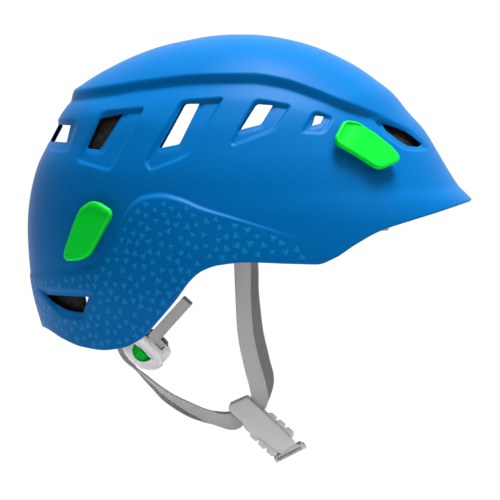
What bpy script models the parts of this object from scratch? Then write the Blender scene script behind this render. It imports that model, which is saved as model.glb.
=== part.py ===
"""Climbing helmet for a child: shell, foam liner, headlamp clips, nape adjuster and chin harness.

Frame: +X to the brim, +Y to the wearer's left, +Z up. The origin is where the crown of the head
meets the crown pad. Lengths in the tables below are millimetres, turned into metres by MM.
"""

import math

import bmesh
import bpy
import numpy as np
from mathutils import Matrix, Vector

MM = 0.001
NAME = "climbing_helmet"

# ---- Driving dimensions (mm) ----
CENTRE_Z = -80.0  # height of the point that the dome's directions start from
SHELL_THICK = 3.0
CROWN_RISE = 3.5  # how far the raised crown stands above the rest of the shell
CROWN_STEP = 6.0  # height of the slope below the crown's edge
LINER_GAP = 4.9  # from the shell's outer surface to the liner, along a direction
LINER_MOST = 27.0  # greatest thickness of the foam
LINER_LIFT = 6.0  # how far the liner's rim stays above the shell's
HEAD_FRONT, HEAD_REAR, HEAD_SIDE, HEAD_TOP = 90.0, 98.0, 74.5, 86.5  # hollow's half axes
PAD_GAP = 1.3  # from the liner's inner surface, which is made of flat facets, to a pad
PAD_THICK = 5.2  # with PAD_GAP this puts the crown pad's underside at the origin

# Outlines of the dome seen from the side and from the front, from the top down.
FRONT_PROFILE = [(0, 24.4), (23, 22.6), (42, 17.8), (62, 9), (78, 0), (91, -8.5), (99, -17.4),
                 (108.5, -27.8), (118, -43), (128.7, -60.5), (138, -70.6), (145, -84), (148, -110)]
REAR_PROFILE = [(0, 24.4), (-26, 22), (-50, 16.3), (-72, 7), (-90, -3.5), (-104, -15),
                (-112.5, -34), (-120, -49.8), (-125.3, -74), (-125.6, -98), (-122.5, -124),
                (-116.3, -146), (-111, -166)]
SIDE_PROFILE = [(0, 24.4), (25, 21.4), (45, 13.5), (58, 4), (68, -8), (78, -24), (86, -42),
                (92, -62), (95.5, -82), (97, -104), (96.5, -125), (93, -145), (87, -168)]
# Height of the rim, and of the crown's edge, along the length.
RIM = [(-130, -143), (-116, -145.8), (-104, -152.6), (-93, -157), (-80, -158.8), (-68, -157),
       (-58, -152), (-49, -142.4), (-39, -130.5), (-30, -118.6), (-22, -112), (-12, -108.6),
       (5, -107), (30, -107.8), (46, -108.2), (56, -104.6), (68, -96.8), (82, -89), (103, -81.8),
       (120, -76.3), (160, -62)]
CROWN_EDGE = [(-110, -9), (-85, -6), (-55, -1.2), (-20, 2.4), (6, 2.7), (24, 0.2), (44, -6.4),
              (60, -12.8), (86, -21.3), (120, -32)]
CROWN_FADE = (62.0, 104.0)  # the raised crown dies away over this length, towards the brim

# Vents, as outlines seen from the side.
VENT_REAR_CORNER = [(-108.5, -24.8), (-99.7, -25.3), (-102.3, -36.8), (-112.6, -36.1)]
VENT_REAR_TOP = [(-81.8, -19.9), (-67.6, -18.4), (-82.4, -41.2), (-90.7, -40.1)]
VENT_MIDDLE = [(-34.3, -14.6), (-31.2, -12.6), (-24, -12.4), (-23.2, -13.8), (-34, -36.1),
               (-36.6, -38), (-46.8, -40.3), (-47.7, -38.6)]
VENT_SIDE = [(8.2, -14.2), (11.2, -12.6), (19, -13.2), (20.2, -15), (14.2, -24.8),
             (11.8, -26.5), (0, -29.5), (-0.7, -28.1)]
VENT_SMALL = [(44.2, -20.2), (46.2, -19.5), (50.3, -20.6), (48.4, -25.3), (42, -27)]
VENT_BROW = [(82.4, -23.7), (90.7, -26.1), (97.3, -28.8), (102, -32), (107.3, -36.2),
             (108.5, -39.1), (99.6, -39.1), (92.8, -34.7), (86, -29.3)]
VENT_REAR_LOW = [(-111, -125.1), (-88.7, -126.3), (-88.7, -128.1), (-92.8, -136.4),
                 (-100.8, -135.8), (-107.9, -131)]
THROUGH_VENTS = [(VENT_MIDDLE, 20), (VENT_SIDE, 20), (VENT_SMALL, 20)]
SHELL_VENTS = [(VENT_REAR_CORNER, 4), (VENT_REAR_TOP, 20), (VENT_BROW, 20), (VENT_REAR_LOW, 25)]
VENT_REACH = 130.0

# Headlamp clips, as outlines seen from the side: (outline, middle, hinge end).
CLIP_FRONT = [(59.2, -25.1), (66.6, -25.7), (78.4, -33.4), (87.9, -41.1), (92.1, -45.9),
              (92.1, -49.4), (82.3, -53.6), (78.4, -53), (66.6, -45.3), (55.3, -38.8),
              (54.1, -35.2)]
CLIP_REAR = [(-85, -70.8), (-80.2, -71.4), (-73.7, -75.5), (-72.7, -79.1), (-84.1, -99.8),
             (-86.7, -103.4), (-91.5, -105.8), (-99.2, -106.3), (-101, -104), (-100.1, -99.2),
             (-94.4, -82.6), (-90.9, -74.9)]
CLIPS = {"front": (CLIP_FRONT, (72.7, -39.1), (84.4, -48.2)),
         "rear": (CLIP_REAR, (-87.1, -89.7), (-81.6, -77.2))}
CLIP_UNDER, CLIP_TOP = 2.3, 6.2  # heights of the clip's two faces above the shell
CLIP_AXIS_HIGH = 2.7
CLIP_KNUCKLE_R = 1.7
CLIP_PIN_R = 0.9
CLIP_BLOCK_WIDE = 7.0
CLIP_POCKET = (9.0, 7.6, 5.1)  # along the hinge, across it, and the ceiling's height

# Nape adjuster. Its plane leans by NAPE_LEAN: AHEAD runs forward and up in that plane, and
# DOWN is square to it. Two toothed bands turn about the middle of their arc.
NAPE = Vector((-54.6, 0, -156.0))  # middle of the bands, at the back
NAPE_LEAN = math.radians(48)
BAND_R = 62.0
BAND_THICK = 1.8
BAND_HALF = 3.5
BAND_END = math.radians(64.5)
BAND_CORNER = 0.7
TONGUE_OUT = 7.5
TONGUE_REACH = 16.0
SHOULDER = (22.0, 30.0)
PITCH_R = 4.5
TEETH = 10
ADDENDUM, DEDENDUM = 0.6, 0.8
WHEEL_R = 10.0
AXLE_R = 1.2
WHEEL_SPAN = (-10.5, -5.9)  # heights along AHEAD from the bands, as all spans here
PINION_SPAN = (-1.4, 1.3)
PINION_NECK = (3.2, 4.4, -3.4)  # radius, length and middle of the neck that joins the wheel
HOUSING_HALF = 23.0
COVER_ACROSS, COVER_OUT = (-10.2, 12.0), (1.7, 4.6)
COLLAR_R, COLLAR_LONG, COLLAR_MIDDLE = 15.0, 7.5, -5.95
WHEEL_WELL = (1.2, 8.0, -9.6)  # clearance round the wheel, length and middle of its recess
WHEEL_WINDOW, WINDOW_MIDDLE = (40, 20, 5), (0, -4.2, -8.2)
PLATE_ACROSS, PLATE_OUT = (-8.8, 11.8), (-3.6, -1.6)
WALLS_ACROSS = {"upper": (-10.2, -8.3), "lower": (8.3, 12.0)}
WALLS_OUT, WALLS_SHORT = (-3.4, 1.4), 0.4
ARM_WIDE, ARM_THICK, ARM_FOOT = 12.0, 2.4, (2.8, -7.5)  # its foot: along AHEAD and DOWN
KNUCKLE_R, PIVOT_PIN_R, PIVOT_PIN_LONG = 3.2, 1.5, 17.4
BRACKET, BRACKET_SHIFT = (8.4, 18, 9), -0.9
BRACKET_GAP, GAP_SHIFT = (10.0, 12.8, 20), 1.4
NAPE_PAD_HALF, NAPE_PAD_ACROSS, NAPE_PAD_OUT = 17.5, (-6.0, 10.5), (-9.4, -4.0)
AXLE_LONG, AXLE_MIDDLE = 13.8, -3.3
FIT = 0.12  # gap between a round pin and its hole
CRADLE_PIVOT = (-91.1, -121.0)

# Harness. Its webbing runs down to the buckle; BUCKLE_DOWN runs along the buckle's length.
WEB_THICK = 1.4
WEB_WIDE = 10.0
CHIN_WIDE = 17.0
BUCKLE_TOP = Vector((0.5, -57.5, -191.7))  # middle of the buckle's upper end
BUCKLE_LEAN = math.radians(42)
BUCKLE_THICK = 6.6
# Outlines in the buckle's own plane: across it, and down along it.
SLEEVE = [(-6.4, -3.8), (-4.0, -5.6), (6.6, -0.8), (7.4, 12), (7.6, 24), (6.2, 38.6), (-5.2, 36.6),
          (-6.0, 24), (-7.4, 15), (-7.2, 7)]
JUNCTION = [(-6.4, -3.8), (-4.0, -5.6), (6.6, -0.8), (7.4, 12), (7.2, 24), (5.6, 35),
            (-5.0, 31.5), (-6.0, 24), (-7.4, 15), (-7.2, 7)]
STRAP_POCKETS = {"front": (6.5, 6.6), "rear": (-6.5, 3.2)}
POCKET_ENTRY, POCKET_END = 9.4, 3.6
MOUTH_START = 13.0
PLUG_THICK = 3.2
PLUG = [(-1.4, 15), (1.4, 15), (1.5, 33), (5.4, 36.4), (5.6, 40.2), (8.0, 41.4), (6.9, 45.6),
        (-10.6, 39.0), (-9.4, 34.9), (-5.2, 36.2), (-4.6, 35.2), (-1.5, 33)]
END_SLOT = (-1.5, 40.3, 0)
END_TILT = math.radians(21)
RELEASE_ARM = [(5.3, 34.6), (3.9, 33.6), (3.7, 15.4), (5.6, 14.6), (7.6, 17), (8.7, 21.6),
               (7.6, 23.4), (8.7, 27.8), (7.9, 29.6), (9.2, 33.4), (8.2, 34.4)]
ARM_HINGE = (4.6, 34.2)
CHIN_ROUTE = [(29.4, -54.2, -219.6), (29.5, -49.5, -219.9), (29.6, -40, -220.2), (29.6, -14, -220.2),
              (29.6, 14, -220.2), (29.6, 40, -220.2), (29.3, 48, -219.6), (28.4, 52.8, -218)]
CHIN_ACROSS = (0.894, 0, 0.447)
ADJUSTER, ADJUSTER_MIDDLE = (CHIN_WIDE + 3.2, 7, 4.0), (29.6, 26, -220.2)
# Where each strap ends in the shell: its anchor's size, and its middle on the left side.
ANCHORS = {"front": ((12, 1.2, 9), (0.5, 72.6, -90.5)), "rear": ((9, 9, 3), (-61.5, 47.5, -138))}


# ---- Tools ----
def clear_scene():
    for obj in list(bpy.data.objects):
        bpy.data.objects.remove(obj, do_unlink=True)


def new_collection(name):
    made = bpy.data.collections.new(name)
    bpy.context.scene.collection.children.link(made)
    return made


def new_material(name, rgb, roughness, metallic=0.0):
    made = bpy.data.materials.new(name)
    made.use_nodes = True
    shader = made.node_tree.nodes["Principled BSDF"]
    shader.inputs["Base Color"].default_value = (*rgb, 1)
    shader.inputs["Roughness"].default_value = roughness
    shader.inputs["Metallic"].default_value = metallic
    return made


clear_scene()
PARTS = new_collection(NAME)
CUTTERS = new_collection("cutters")
BLUE = new_material("shell_blue", (0.0, 0.12, 0.42), 0.42)
FOAM = new_material("foam_black", (0.02, 0.018, 0.016), 0.9)
GREEN = new_material("clip_green", (0.0, 0.62, 0.06), 0.38)
GREY = new_material("housing_grey", (0.52, 0.53, 0.53), 0.45)
WEB = new_material("webbing_grey", (0.36, 0.36, 0.37), 0.85)
PAD = new_material("pad_fabric", (0.05, 0.05, 0.055), 0.95)
STEEL = new_material("pin_steel", (0.6, 0.6, 0.62), 0.3, 1.0)


def keep(bm, name, mat, cutter=False, at=None):
    """Turns a bmesh in millimetres into an object; at is its origin, which its mesh is moved by."""
    bmesh.ops.recalc_face_normals(bm, faces=bm.faces)
    origin = Vector(at or (0, 0, 0))
    bmesh.ops.transform(bm, matrix=Matrix.Translation(-origin), verts=bm.verts)
    bmesh.ops.scale(bm, vec=(MM, MM, MM), verts=bm.verts)
    mesh = bpy.data.meshes.new(name)
    bm.to_mesh(mesh)
    bm.free()
    obj = bpy.data.objects.new(name, mesh)
    obj.location = origin * MM
    if cutter:
        obj.hide_render = True
        obj.display_type = "WIRE"
        CUTTERS.objects.link(obj)
        return obj
    mesh.materials.append(mat)
    mesh.shade_smooth()
    mesh.set_sharp_from_angle(angle=math.radians(35))
    PARTS.objects.link(obj)
    return obj


def boolean(obj, other, operation="DIFFERENCE"):
    mod = obj.modifiers.new(f"{operation.lower()}_{other.name}", "BOOLEAN")
    mod.operation = operation
    mod.object = other
    mod.solver = "EXACT"


def bevel(obj, width, segments=2, angle=35):
    mod = obj.modifiers.new("rounded_edges", "BEVEL")
    mod.width = width * MM
    mod.segments = segments
    mod.limit_method = "ANGLE"
    mod.angle_limit = math.radians(angle)


def block(size, place):
    """A box of this size, placed by a matrix."""
    bm = bmesh.new()
    bmesh.ops.create_cube(bm, size=1, matrix=place @ Matrix.Diagonal((*size, 1)))
    return bm


def rod(radius, length, place, sides=16):
    """A cylinder along the matrix's Z, centred on it."""
    bm = bmesh.new()
    bmesh.ops.create_cone(bm, cap_ends=True, segments=sides, radius1=radius, radius2=radius,
                          depth=length, matrix=place)
    return bm


def axes_at(origin, x_axis, y_axis, z_axis):
    """The matrix that puts local X, Y and Z along these three directions."""
    place = Matrix((x_axis, y_axis, z_axis)).transposed().to_4x4()
    place.translation = origin
    return place


def slab(outline, low, high, place):
    """A flat outline in the matrix's XY plane, thickened from low to high along its Z."""
    curve = bpy.data.curves.new("outline", "CURVE")
    curve.dimensions = "2D"
    curve.fill_mode = "BOTH"
    curve.extrude = (high - low) / 2
    spline = curve.splines.new("POLY")
    spline.points.add(len(outline) - 1)
    for point, (u, v) in zip(spline.points, outline):
        point.co = (u, v, 0, 1)
    spline.use_cyclic_u = True
    guide = bpy.data.objects.new("outline", curve)
    bpy.context.scene.collection.objects.link(guide)
    bpy.context.view_layer.update()
    graph = bpy.context.evaluated_depsgraph_get()
    mesh = bpy.data.meshes.new_from_object(guide.evaluated_get(graph))
    bpy.data.objects.remove(guide)
    bm = bmesh.new()
    bm.from_mesh(mesh)
    bmesh.ops.remove_doubles(bm, verts=bm.verts, dist=1e-4)
    move = place @ Matrix.Translation((0, 0, (low + high) / 2))
    bmesh.ops.transform(bm, matrix=move, verts=bm.verts)
    return bm


def loft(sections):
    """A closed skin over rings of points that all have the same count."""
    bm = bmesh.new()
    rings = [[bm.verts.new(p) for p in ring] for ring in sections]
    for a, b in zip(rings, rings[1:]):
        for i in range(len(a)):
            j = (i + 1) % len(a)
            bm.faces.new((a[i], a[j], b[j], b[i]))
    bm.faces.new(rings[0])
    bm.faces.new(rings[-1])
    return bm


def smooth(xs, ys):
    """A curve through the points, with no overshoot between them."""
    xs, ys = np.array(xs, float), np.array(ys, float)
    step = np.diff(xs)
    slope = np.diff(ys) / step
    tangent = np.zeros(len(xs))
    for i in range(1, len(xs) - 1):
        if slope[i - 1] * slope[i] > 0:
            near, far = 2 * step[i] + step[i - 1], step[i] + 2 * step[i - 1]
            tangent[i] = (near + far) / (near / slope[i - 1] + far / slope[i])
    tangent[0], tangent[-1] = slope[0], slope[-1]

    def read(x):
        x = min(max(x, xs[0]), xs[-1])
        i = min(int(np.searchsorted(xs, x, side="right")) - 1, len(xs) - 2)
        h, t = step[i], (x - xs[i]) / step[i]
        return float((1 + 2 * t) * (1 - t) ** 2 * ys[i] + t * (1 - t) ** 2 * h * tangent[i]
                     + t * t * (3 - 2 * t) * ys[i + 1] + t * t * (t - 1) * h * tangent[i + 1])

    return read


def fade(x, low, high):
    t = min(max((x - low) / (high - low), 0), 1)
    return t * t * (3 - 2 * t)


# ---- The dome ----
def polar(profile):
    """Distance from the centre against the angle from straight up, for one outline."""
    angles = [math.atan2(abs(out), z - CENTRE_Z) for out, z in profile]
    reach = [math.hypot(out, z - CENTRE_Z) for out, z in profile]
    return smooth(angles, reach)


FRONT, REAR, SIDE = polar(FRONT_PROFILE), polar(REAR_PROFILE), polar(SIDE_PROFILE)
RIM_AT = smooth(*zip(*RIM))
CROWN_EDGE_AT = smooth(*zip(*CROWN_EDGE))


def direction(around, down):
    return Vector((math.cos(around) * math.sin(down), math.sin(around) * math.sin(down),
                   math.cos(down)))


def dome_reach(around, down):
    """Distance to the shell's outer surface: an ellipse between the side and end outlines."""
    end = FRONT(down) if math.cos(around) > 0 else REAR(down)
    across = SIDE(down)
    return 1 / math.sqrt((math.cos(around) / end) ** 2 + (math.sin(around) / across) ** 2)


def dome(around, down, offset=0.0):
    return Vector((0, 0, CENTRE_Z)) + direction(around, down) * (dome_reach(around, down) + offset)


def angle_where(height_at, around, low, high, lift=0.0):
    """The angle from straight up at which the dome meets a height that varies along the length."""
    steps = 60
    for i in range(steps):
        down = low + (high - low) * (i + 1) / steps
        point = dome(around, down)
        if point.z < height_at(point.x) + lift:
            break
    before = down - (high - low) / steps
    for _ in range(20):
        middle = (before + down) / 2
        point = dome(around, middle)
        if point.z < height_at(point.x) + lift:
            down = middle
        else:
            before = middle
    return down


def side_y(x, z):
    """The shell's half-width at a place seen from the side."""
    low, high = 0.0, 130.0
    for _ in range(40):
        y = (low + high) / 2
        offset = Vector((x, y, z - CENTRE_Z))
        down = math.acos(offset.z / offset.length)
        if offset.length < dome_reach(math.atan2(y, x), down):
            low = y
        else:
            high = y
    return low


def outward(x, z, side):
    """The shell's point and outward normal at a place seen from the side."""
    here = Vector((x, side_y(x, z), z))
    along = Vector((x + 1, side_y(x + 1, z), z)) - here
    up = Vector((x, side_y(x, z + 1), z + 1)) - here
    normal = up.cross(along).normalized()
    if normal.y < 0:
        normal.negate()
    return Vector((here.x, side * here.y, here.z)), Vector((normal.x, side * normal.y, normal.z))


def head_reach(around, down):
    """Distance to the hollow for the head: half an ellipsoid, with upright walls below it."""
    end = HEAD_FRONT if math.cos(around) > 0 else HEAD_REAR
    level = math.sin(down)
    across = math.hypot(math.cos(around) / end, math.sin(around) / HEAD_SIDE) * level
    return 1 / math.hypot(across, max(math.cos(down), 0) / HEAD_TOP)


def shell_grid(around_steps=44, crown_rows=6, wall_rows=9):
    """The shell's outer skin, in rows from the crown to the rim."""
    bm = bmesh.new()
    top = bm.verts.new(dome(0, 0, CROWN_RISE))
    rows = []
    for i in range(around_steps):
        around = 2 * math.pi * i / around_steps
        edge = angle_where(CROWN_EDGE_AT, around, 0.3, 1.7)
        foot = angle_where(CROWN_EDGE_AT, around, 0.3, 1.8, -CROWN_STEP)
        rim = angle_where(RIM_AT, around, 1.0, 2.5)
        column = []
        for row in range(1, crown_rows + 1):
            down = edge * row / crown_rows
            rise = CROWN_RISE * (1 - fade(dome(around, down).x, *CROWN_FADE))
            column.append(dome(around, down, rise))
        for row in range(wall_rows + 1):
            column.append(dome(around, foot + (rim - foot) * row / wall_rows))
        rows.append([bm.verts.new(p) for p in column])
    for i, column in enumerate(rows):
        beside = rows[(i + 1) % around_steps]
        bm.faces.new((top, column[0], beside[0]))
        for a, b, c, d in zip(column, column[1:], beside[1:], beside):
            bm.faces.new((a, b, c, d))
    return bm


def liner_grid(around_steps=36, rows=10):
    """The foam liner: an outer and an inner skin that meet at its rim."""
    bm = bmesh.new()
    skins = []
    rims = [angle_where(RIM_AT, 2 * math.pi * i / around_steps, 1.0, 2.5, LINER_LIFT)
            for i in range(around_steps)]
    for inner in (False, True):
        columns = []
        for i, rim in enumerate(rims):
            around = 2 * math.pi * i / around_steps
            column = []
            for row in range(1, rows + 1):
                down = rim * row / rows
                head = head_reach(around, down)
                reach = min(dome_reach(around, down) - LINER_GAP, head + LINER_MOST)
                reach = head if inner else reach
                point = Vector((0, 0, CENTRE_Z)) + direction(around, down) * reach
                column.append(bm.verts.new(point))
            columns.append(column)
        reach = HEAD_TOP if inner else dome_reach(0, 0) - LINER_GAP
        top = bm.verts.new((0, 0, CENTRE_Z + reach))
        for i, column in enumerate(columns):
            beside = columns[(i + 1) % around_steps]
            bm.faces.new((top, column[0], beside[0]))
            for a, b, c, d in zip(column, column[1:], beside[1:], beside):
                bm.faces.new((a, b, c, d))
        skins.append(columns)
    for i in range(around_steps):
        j = (i + 1) % around_steps
        bm.faces.new((skins[0][i][-1], skins[0][j][-1], skins[1][j][-1], skins[1][i][-1]))
    return bm


SIDE_VIEW = axes_at(Vector((0, 0, 0)), Vector((1, 0, 0)), Vector((0, 0, 1)), Vector((0, -1, 0)))


def vent_cutters(outlines, label):
    """One cutter for each vent and side, from near the middle to past the shell."""
    made = []
    for number, (outline, start) in enumerate(outlines):
        for side, low, high in (("right", start, VENT_REACH), ("left", -VENT_REACH, -start)):
            bm = slab(outline, low, high, SIDE_VIEW)
            made.append(keep(bm, f"cut_{label}_{number}_{side}", None, cutter=True))
    return made


def shell_and_liner():
    shell = keep(shell_grid(), "outer_shell", BLUE)
    wall = shell.modifiers.new("wall", "SOLIDIFY")
    wall.thickness = SHELL_THICK * MM
    wall.offset = -1
    wall.use_even_offset = True
    liner = keep(liner_grid(), "foam_liner", FOAM)
    through = vent_cutters(THROUGH_VENTS, "through")
    for cutter in through + vent_cutters(SHELL_VENTS, "shell"):
        boolean(shell, cutter)
    corner = slab(VENT_REAR_CORNER, -VENT_REACH, VENT_REACH, SIDE_VIEW)
    for cutter in through + [keep(corner, "cut_liner_corner", None, cutter=True)]:
        boolean(liner, cutter)


# ---- Comfort pads ----
def pad(name, middle, half_around, half_down, thick=PAD_THICK):
    """A pad that lies on the liner's inner surface, with rounded corners."""
    across, along = 6, 4
    skins = []
    for depth in (PAD_GAP, PAD_GAP + thick):
        grid = []
        for i in range(across + 1):
            for j in range(along + 1):
                u, v = 2 * i / across - 1, 2 * j / along - 1
                u, v = u * math.sqrt(1 - 0.3 * v * v), v * math.sqrt(1 - 0.3 * u * u)
                around = middle[0] + half_around * u
                down = middle[1] + half_down * v
                reach = head_reach(around, down) - depth
                grid.append(Vector((0, 0, CENTRE_Z)) + direction(around, down) * reach)
        skins.append(grid)
    bm = bmesh.new()
    layers = [[bm.verts.new(p) for p in grid] for grid in skins]
    wide = along + 1

    def quad(layer, i, j):
        return [layer[i * wide + j], layer[(i + 1) * wide + j], layer[(i + 1) * wide + j + 1],
                layer[i * wide + j + 1]]

    for i in range(across):
        for j in range(along):
            bm.faces.new(quad(layers[0], i, j))
            bm.faces.new(list(reversed(quad(layers[1], i, j))))
    edge = [(i, 0) for i in range(across)] + [(across, j) for j in range(along)]
    edge += [(i, along) for i in range(across, 0, -1)] + [(0, j) for j in range(along, 0, -1)]
    for (i, j), (k, m) in zip(edge, edge[1:] + edge[:1]):
        a, b = i * wide + j, k * wide + m
        bm.faces.new((layers[0][a], layers[0][b], layers[1][b], layers[1][a]))
    return keep(bm, name, PAD)


def crown_pad(sides=24, turns=(7.0, 14.0, 20.0)):
    """A round pad under the crown, whose underside holds the origin."""
    bm = bmesh.new()
    skins = []
    for depth in (PAD_GAP, PAD_GAP + PAD_THICK):
        top = bm.verts.new((0, 0, CENTRE_Z + HEAD_TOP - depth))
        rings = []
        for turn in turns:
            down = math.radians(turn)
            ring = []
            for k in range(sides):
                around = 2 * math.pi * k / sides
                reach = head_reach(around, down) - depth
                ring.append(bm.verts.new(Vector((0, 0, CENTRE_Z)) + direction(around, down) * reach))
            rings.append(ring)
        for k in range(sides):
            bm.faces.new((top, rings[0][k], rings[0][(k + 1) % sides]))
        skins.append(rings)
    pairs = [pair for rings in skins for pair in zip(rings, rings[1:])]
    pairs.append((skins[0][-1], skins[1][-1]))
    for above, below in pairs:
        for k in range(sides):
            m = (k + 1) % sides
            bm.faces.new((above[k], above[m], below[m], below[k]))
    return keep(bm, "crown_pad", PAD)


def pads():
    crown_pad()
    level = math.radians(86)
    pad("brow_pad", (0, level), math.radians(38), math.radians(10))
    pad("rear_pad", (math.pi, math.radians(84)), math.radians(28), math.radians(9))
    pad("temple_pad_right", (math.radians(-72), level), math.radians(17), math.radians(9))
    pad("temple_pad_left", (math.radians(72), level), math.radians(17), math.radians(9))


# ---- Headlamp clips ----
def clip(end, side_name, side):
    """A clip with its hinge pin, and the block on the shell that carries the pin."""
    outline, middle, hinge = CLIPS[end]
    here, normal = outward(*middle, side)
    lean = Vector((hinge[0] - middle[0], 0, hinge[1] - middle[1]))
    towards = (lean - lean.dot(normal) * normal).normalized()
    axis = normal.cross(towards)
    face = axes_at(here, towards, axis, normal)
    flat = []
    for x, z in outline:
        lift = (normal.x * (x - here.x) + normal.z * (z - here.z)) / normal.y
        local = face.inverted() @ Vector((x, here.y - lift, z))
        flat.append((local.x, local.y))
    reach = lean.length
    centre = face @ Vector((reach, 0, CLIP_AXIS_HIGH))
    hinge_place = axes_at(centre, towards, normal, axis)
    label = f"{end}_{side_name}"

    lever = keep(slab(flat, CLIP_UNDER, CLIP_TOP, face), f"clip_{label}", GREEN, at=centre)
    bevel(lever, 1.2, 2)
    long, wide, ceiling = CLIP_POCKET
    low = CLIP_UNDER - 2
    pocket_at = face @ Matrix.Translation((reach, 0, (low + ceiling) / 2))
    pocket = keep(block((wide, long, ceiling - low), pocket_at), f"cut_pocket_{label}", None, True)
    boolean(lever, pocket)
    hole = keep(rod(CLIP_PIN_R + 0.12, 14, hinge_place, 12), f"cut_hole_{label}", None, True)
    boolean(lever, hole)

    keep(rod(CLIP_PIN_R, 13, hinge_place, 12), f"clip_pin_{label}", STEEL)

    foot_low = -0.4
    bm = rod(CLIP_KNUCKLE_R, CLIP_BLOCK_WIDE, hinge_place, 16)
    base = keep(bm, f"clip_base_{label}", BLUE)
    stem_at = face @ Matrix.Translation((reach, 0, (CLIP_AXIS_HIGH + foot_low) / 2))
    stem = block((2 * CLIP_KNUCKLE_R - 0.4, CLIP_BLOCK_WIDE, CLIP_AXIS_HIGH - foot_low), stem_at)
    boolean(base, keep(stem, f"add_stem_{label}", None, True), "UNION")
    bore = rod(CLIP_PIN_R + 0.1, 14, hinge_place, 12)
    boolean(base, keep(bore, f"cut_bore_{label}", None, True))


def clips():
    for end in CLIPS:
        clip(end, "right", -1)
        clip(end, "left", 1)


# ---- Nape adjuster ----
AHEAD = Vector((math.cos(NAPE_LEAN), 0, math.sin(NAPE_LEAN)))
DOWN = Vector((math.sin(NAPE_LEAN), 0, -math.cos(NAPE_LEAN)))
ARC_MIDDLE = NAPE + AHEAD * BAND_R
# Local X runs to the wearer's right, Y along DOWN, and Z along AHEAD.
NAPE_PLACE = axes_at(NAPE, Vector((0, -1, 0)), DOWN, AHEAD)


def on_arc(along, across, reach):
    """A point of the bands' arc: along it to the left, across it, and out from its middle."""
    turn = along / BAND_R
    back = AHEAD * (reach * math.cos(turn))
    left = Vector((0, reach * math.sin(turn), 0))
    return ARC_MIDDLE - back + left + DOWN * across


def rack_edge():
    """Corners of the toothed edge: (along, height above the pinion's axis)."""
    pitch = 2 * math.pi * PITCH_R / TEETH
    tip, root = PITCH_R - ADDENDUM, PITCH_R + DEDENDUM
    corners = []
    count = int(TONGUE_REACH / pitch)
    for k in range(-count, count + 2):
        middle = (k - 0.5) * pitch
        for shift, height in ((-0.85, root), (-0.35, tip), (0.35, tip), (0.85, root)):
            corners.append((middle + shift, height))
    return corners


def band(name, side):
    """One band: a toothed tongue beside the pinion, a shoulder, and a plain arm round the nape."""
    start, end = SHOULDER
    stations = [(-TONGUE_REACH, PITCH_R + DEDENDUM, TONGUE_OUT)]
    stations += [(s, low, TONGUE_OUT) for s, low in rack_edge() if -TONGUE_REACH < s < start - 4]
    stations += [(start - 2, PITCH_R + DEDENDUM, TONGUE_OUT), (start, -BAND_HALF, TONGUE_OUT),
                 (start + 4, -BAND_HALF, TONGUE_OUT), (end, -BAND_HALF, BAND_HALF)]
    last = BAND_R * BAND_END
    stations += [(end + (last - end) * k / 7, -BAND_HALF, BAND_HALF) for k in range(1, 7)]
    narrow = BAND_HALF - BAND_CORNER
    stations += [(last - BAND_CORNER, -BAND_HALF, BAND_HALF), (last, -narrow, narrow)]
    inner, outer = BAND_R - BAND_THICK / 2, BAND_R + BAND_THICK / 2
    rings = []
    for along, low, high in stations:
        rings.append([on_arc(side * along, -side * across, reach)
                      for across, reach in ((low, inner), (high, inner), (high, outer),
                                            (low, outer))])
    return keep(loft(rings), name, GREY, at=ARC_MIDDLE)


def gear_outline():
    """The pinion's outline: straight-flanked teeth, one of them along +Y."""
    tip, root = PITCH_R + ADDENDUM, PITCH_R - DEDENDUM
    step = 2 * math.pi / TEETH
    corners = []
    for k in range(TEETH):
        middle = math.pi / 2 + k * step
        for turn, reach in ((-0.19, root), (-0.075, tip), (0.075, tip), (0.19, root)):
            corners.append((reach * math.cos(middle + turn), reach * math.sin(middle + turn)))
    return corners


def knurled_outline(radius, grips=20, depth=0.6):
    """A circle with shallow finger grips: each takes four steps, two of them at half depth."""
    corners = []
    for k in range(4 * grips):
        reach = radius - depth * (0, 0.5, 1, 0.5)[k % 4]
        turn = 2 * math.pi * k / (4 * grips)
        corners.append((reach * math.cos(turn), reach * math.sin(turn)))
    return corners


def arc_block(half_along, across, reach, steps=10):
    """A curved bar beside the bands: its half length, and its ranges across and out of the arc."""
    (low, high), (inner, outer) = across, reach
    rings = []
    for i in range(steps + 1):
        along = half_along * (2 * i / steps - 1)
        corners = ((low, inner), (high, inner), (high, outer), (low, outer))
        rings.append([on_arc(along, edge, BAND_R + out) for edge, out in corners])
    return loft(rings)


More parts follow.
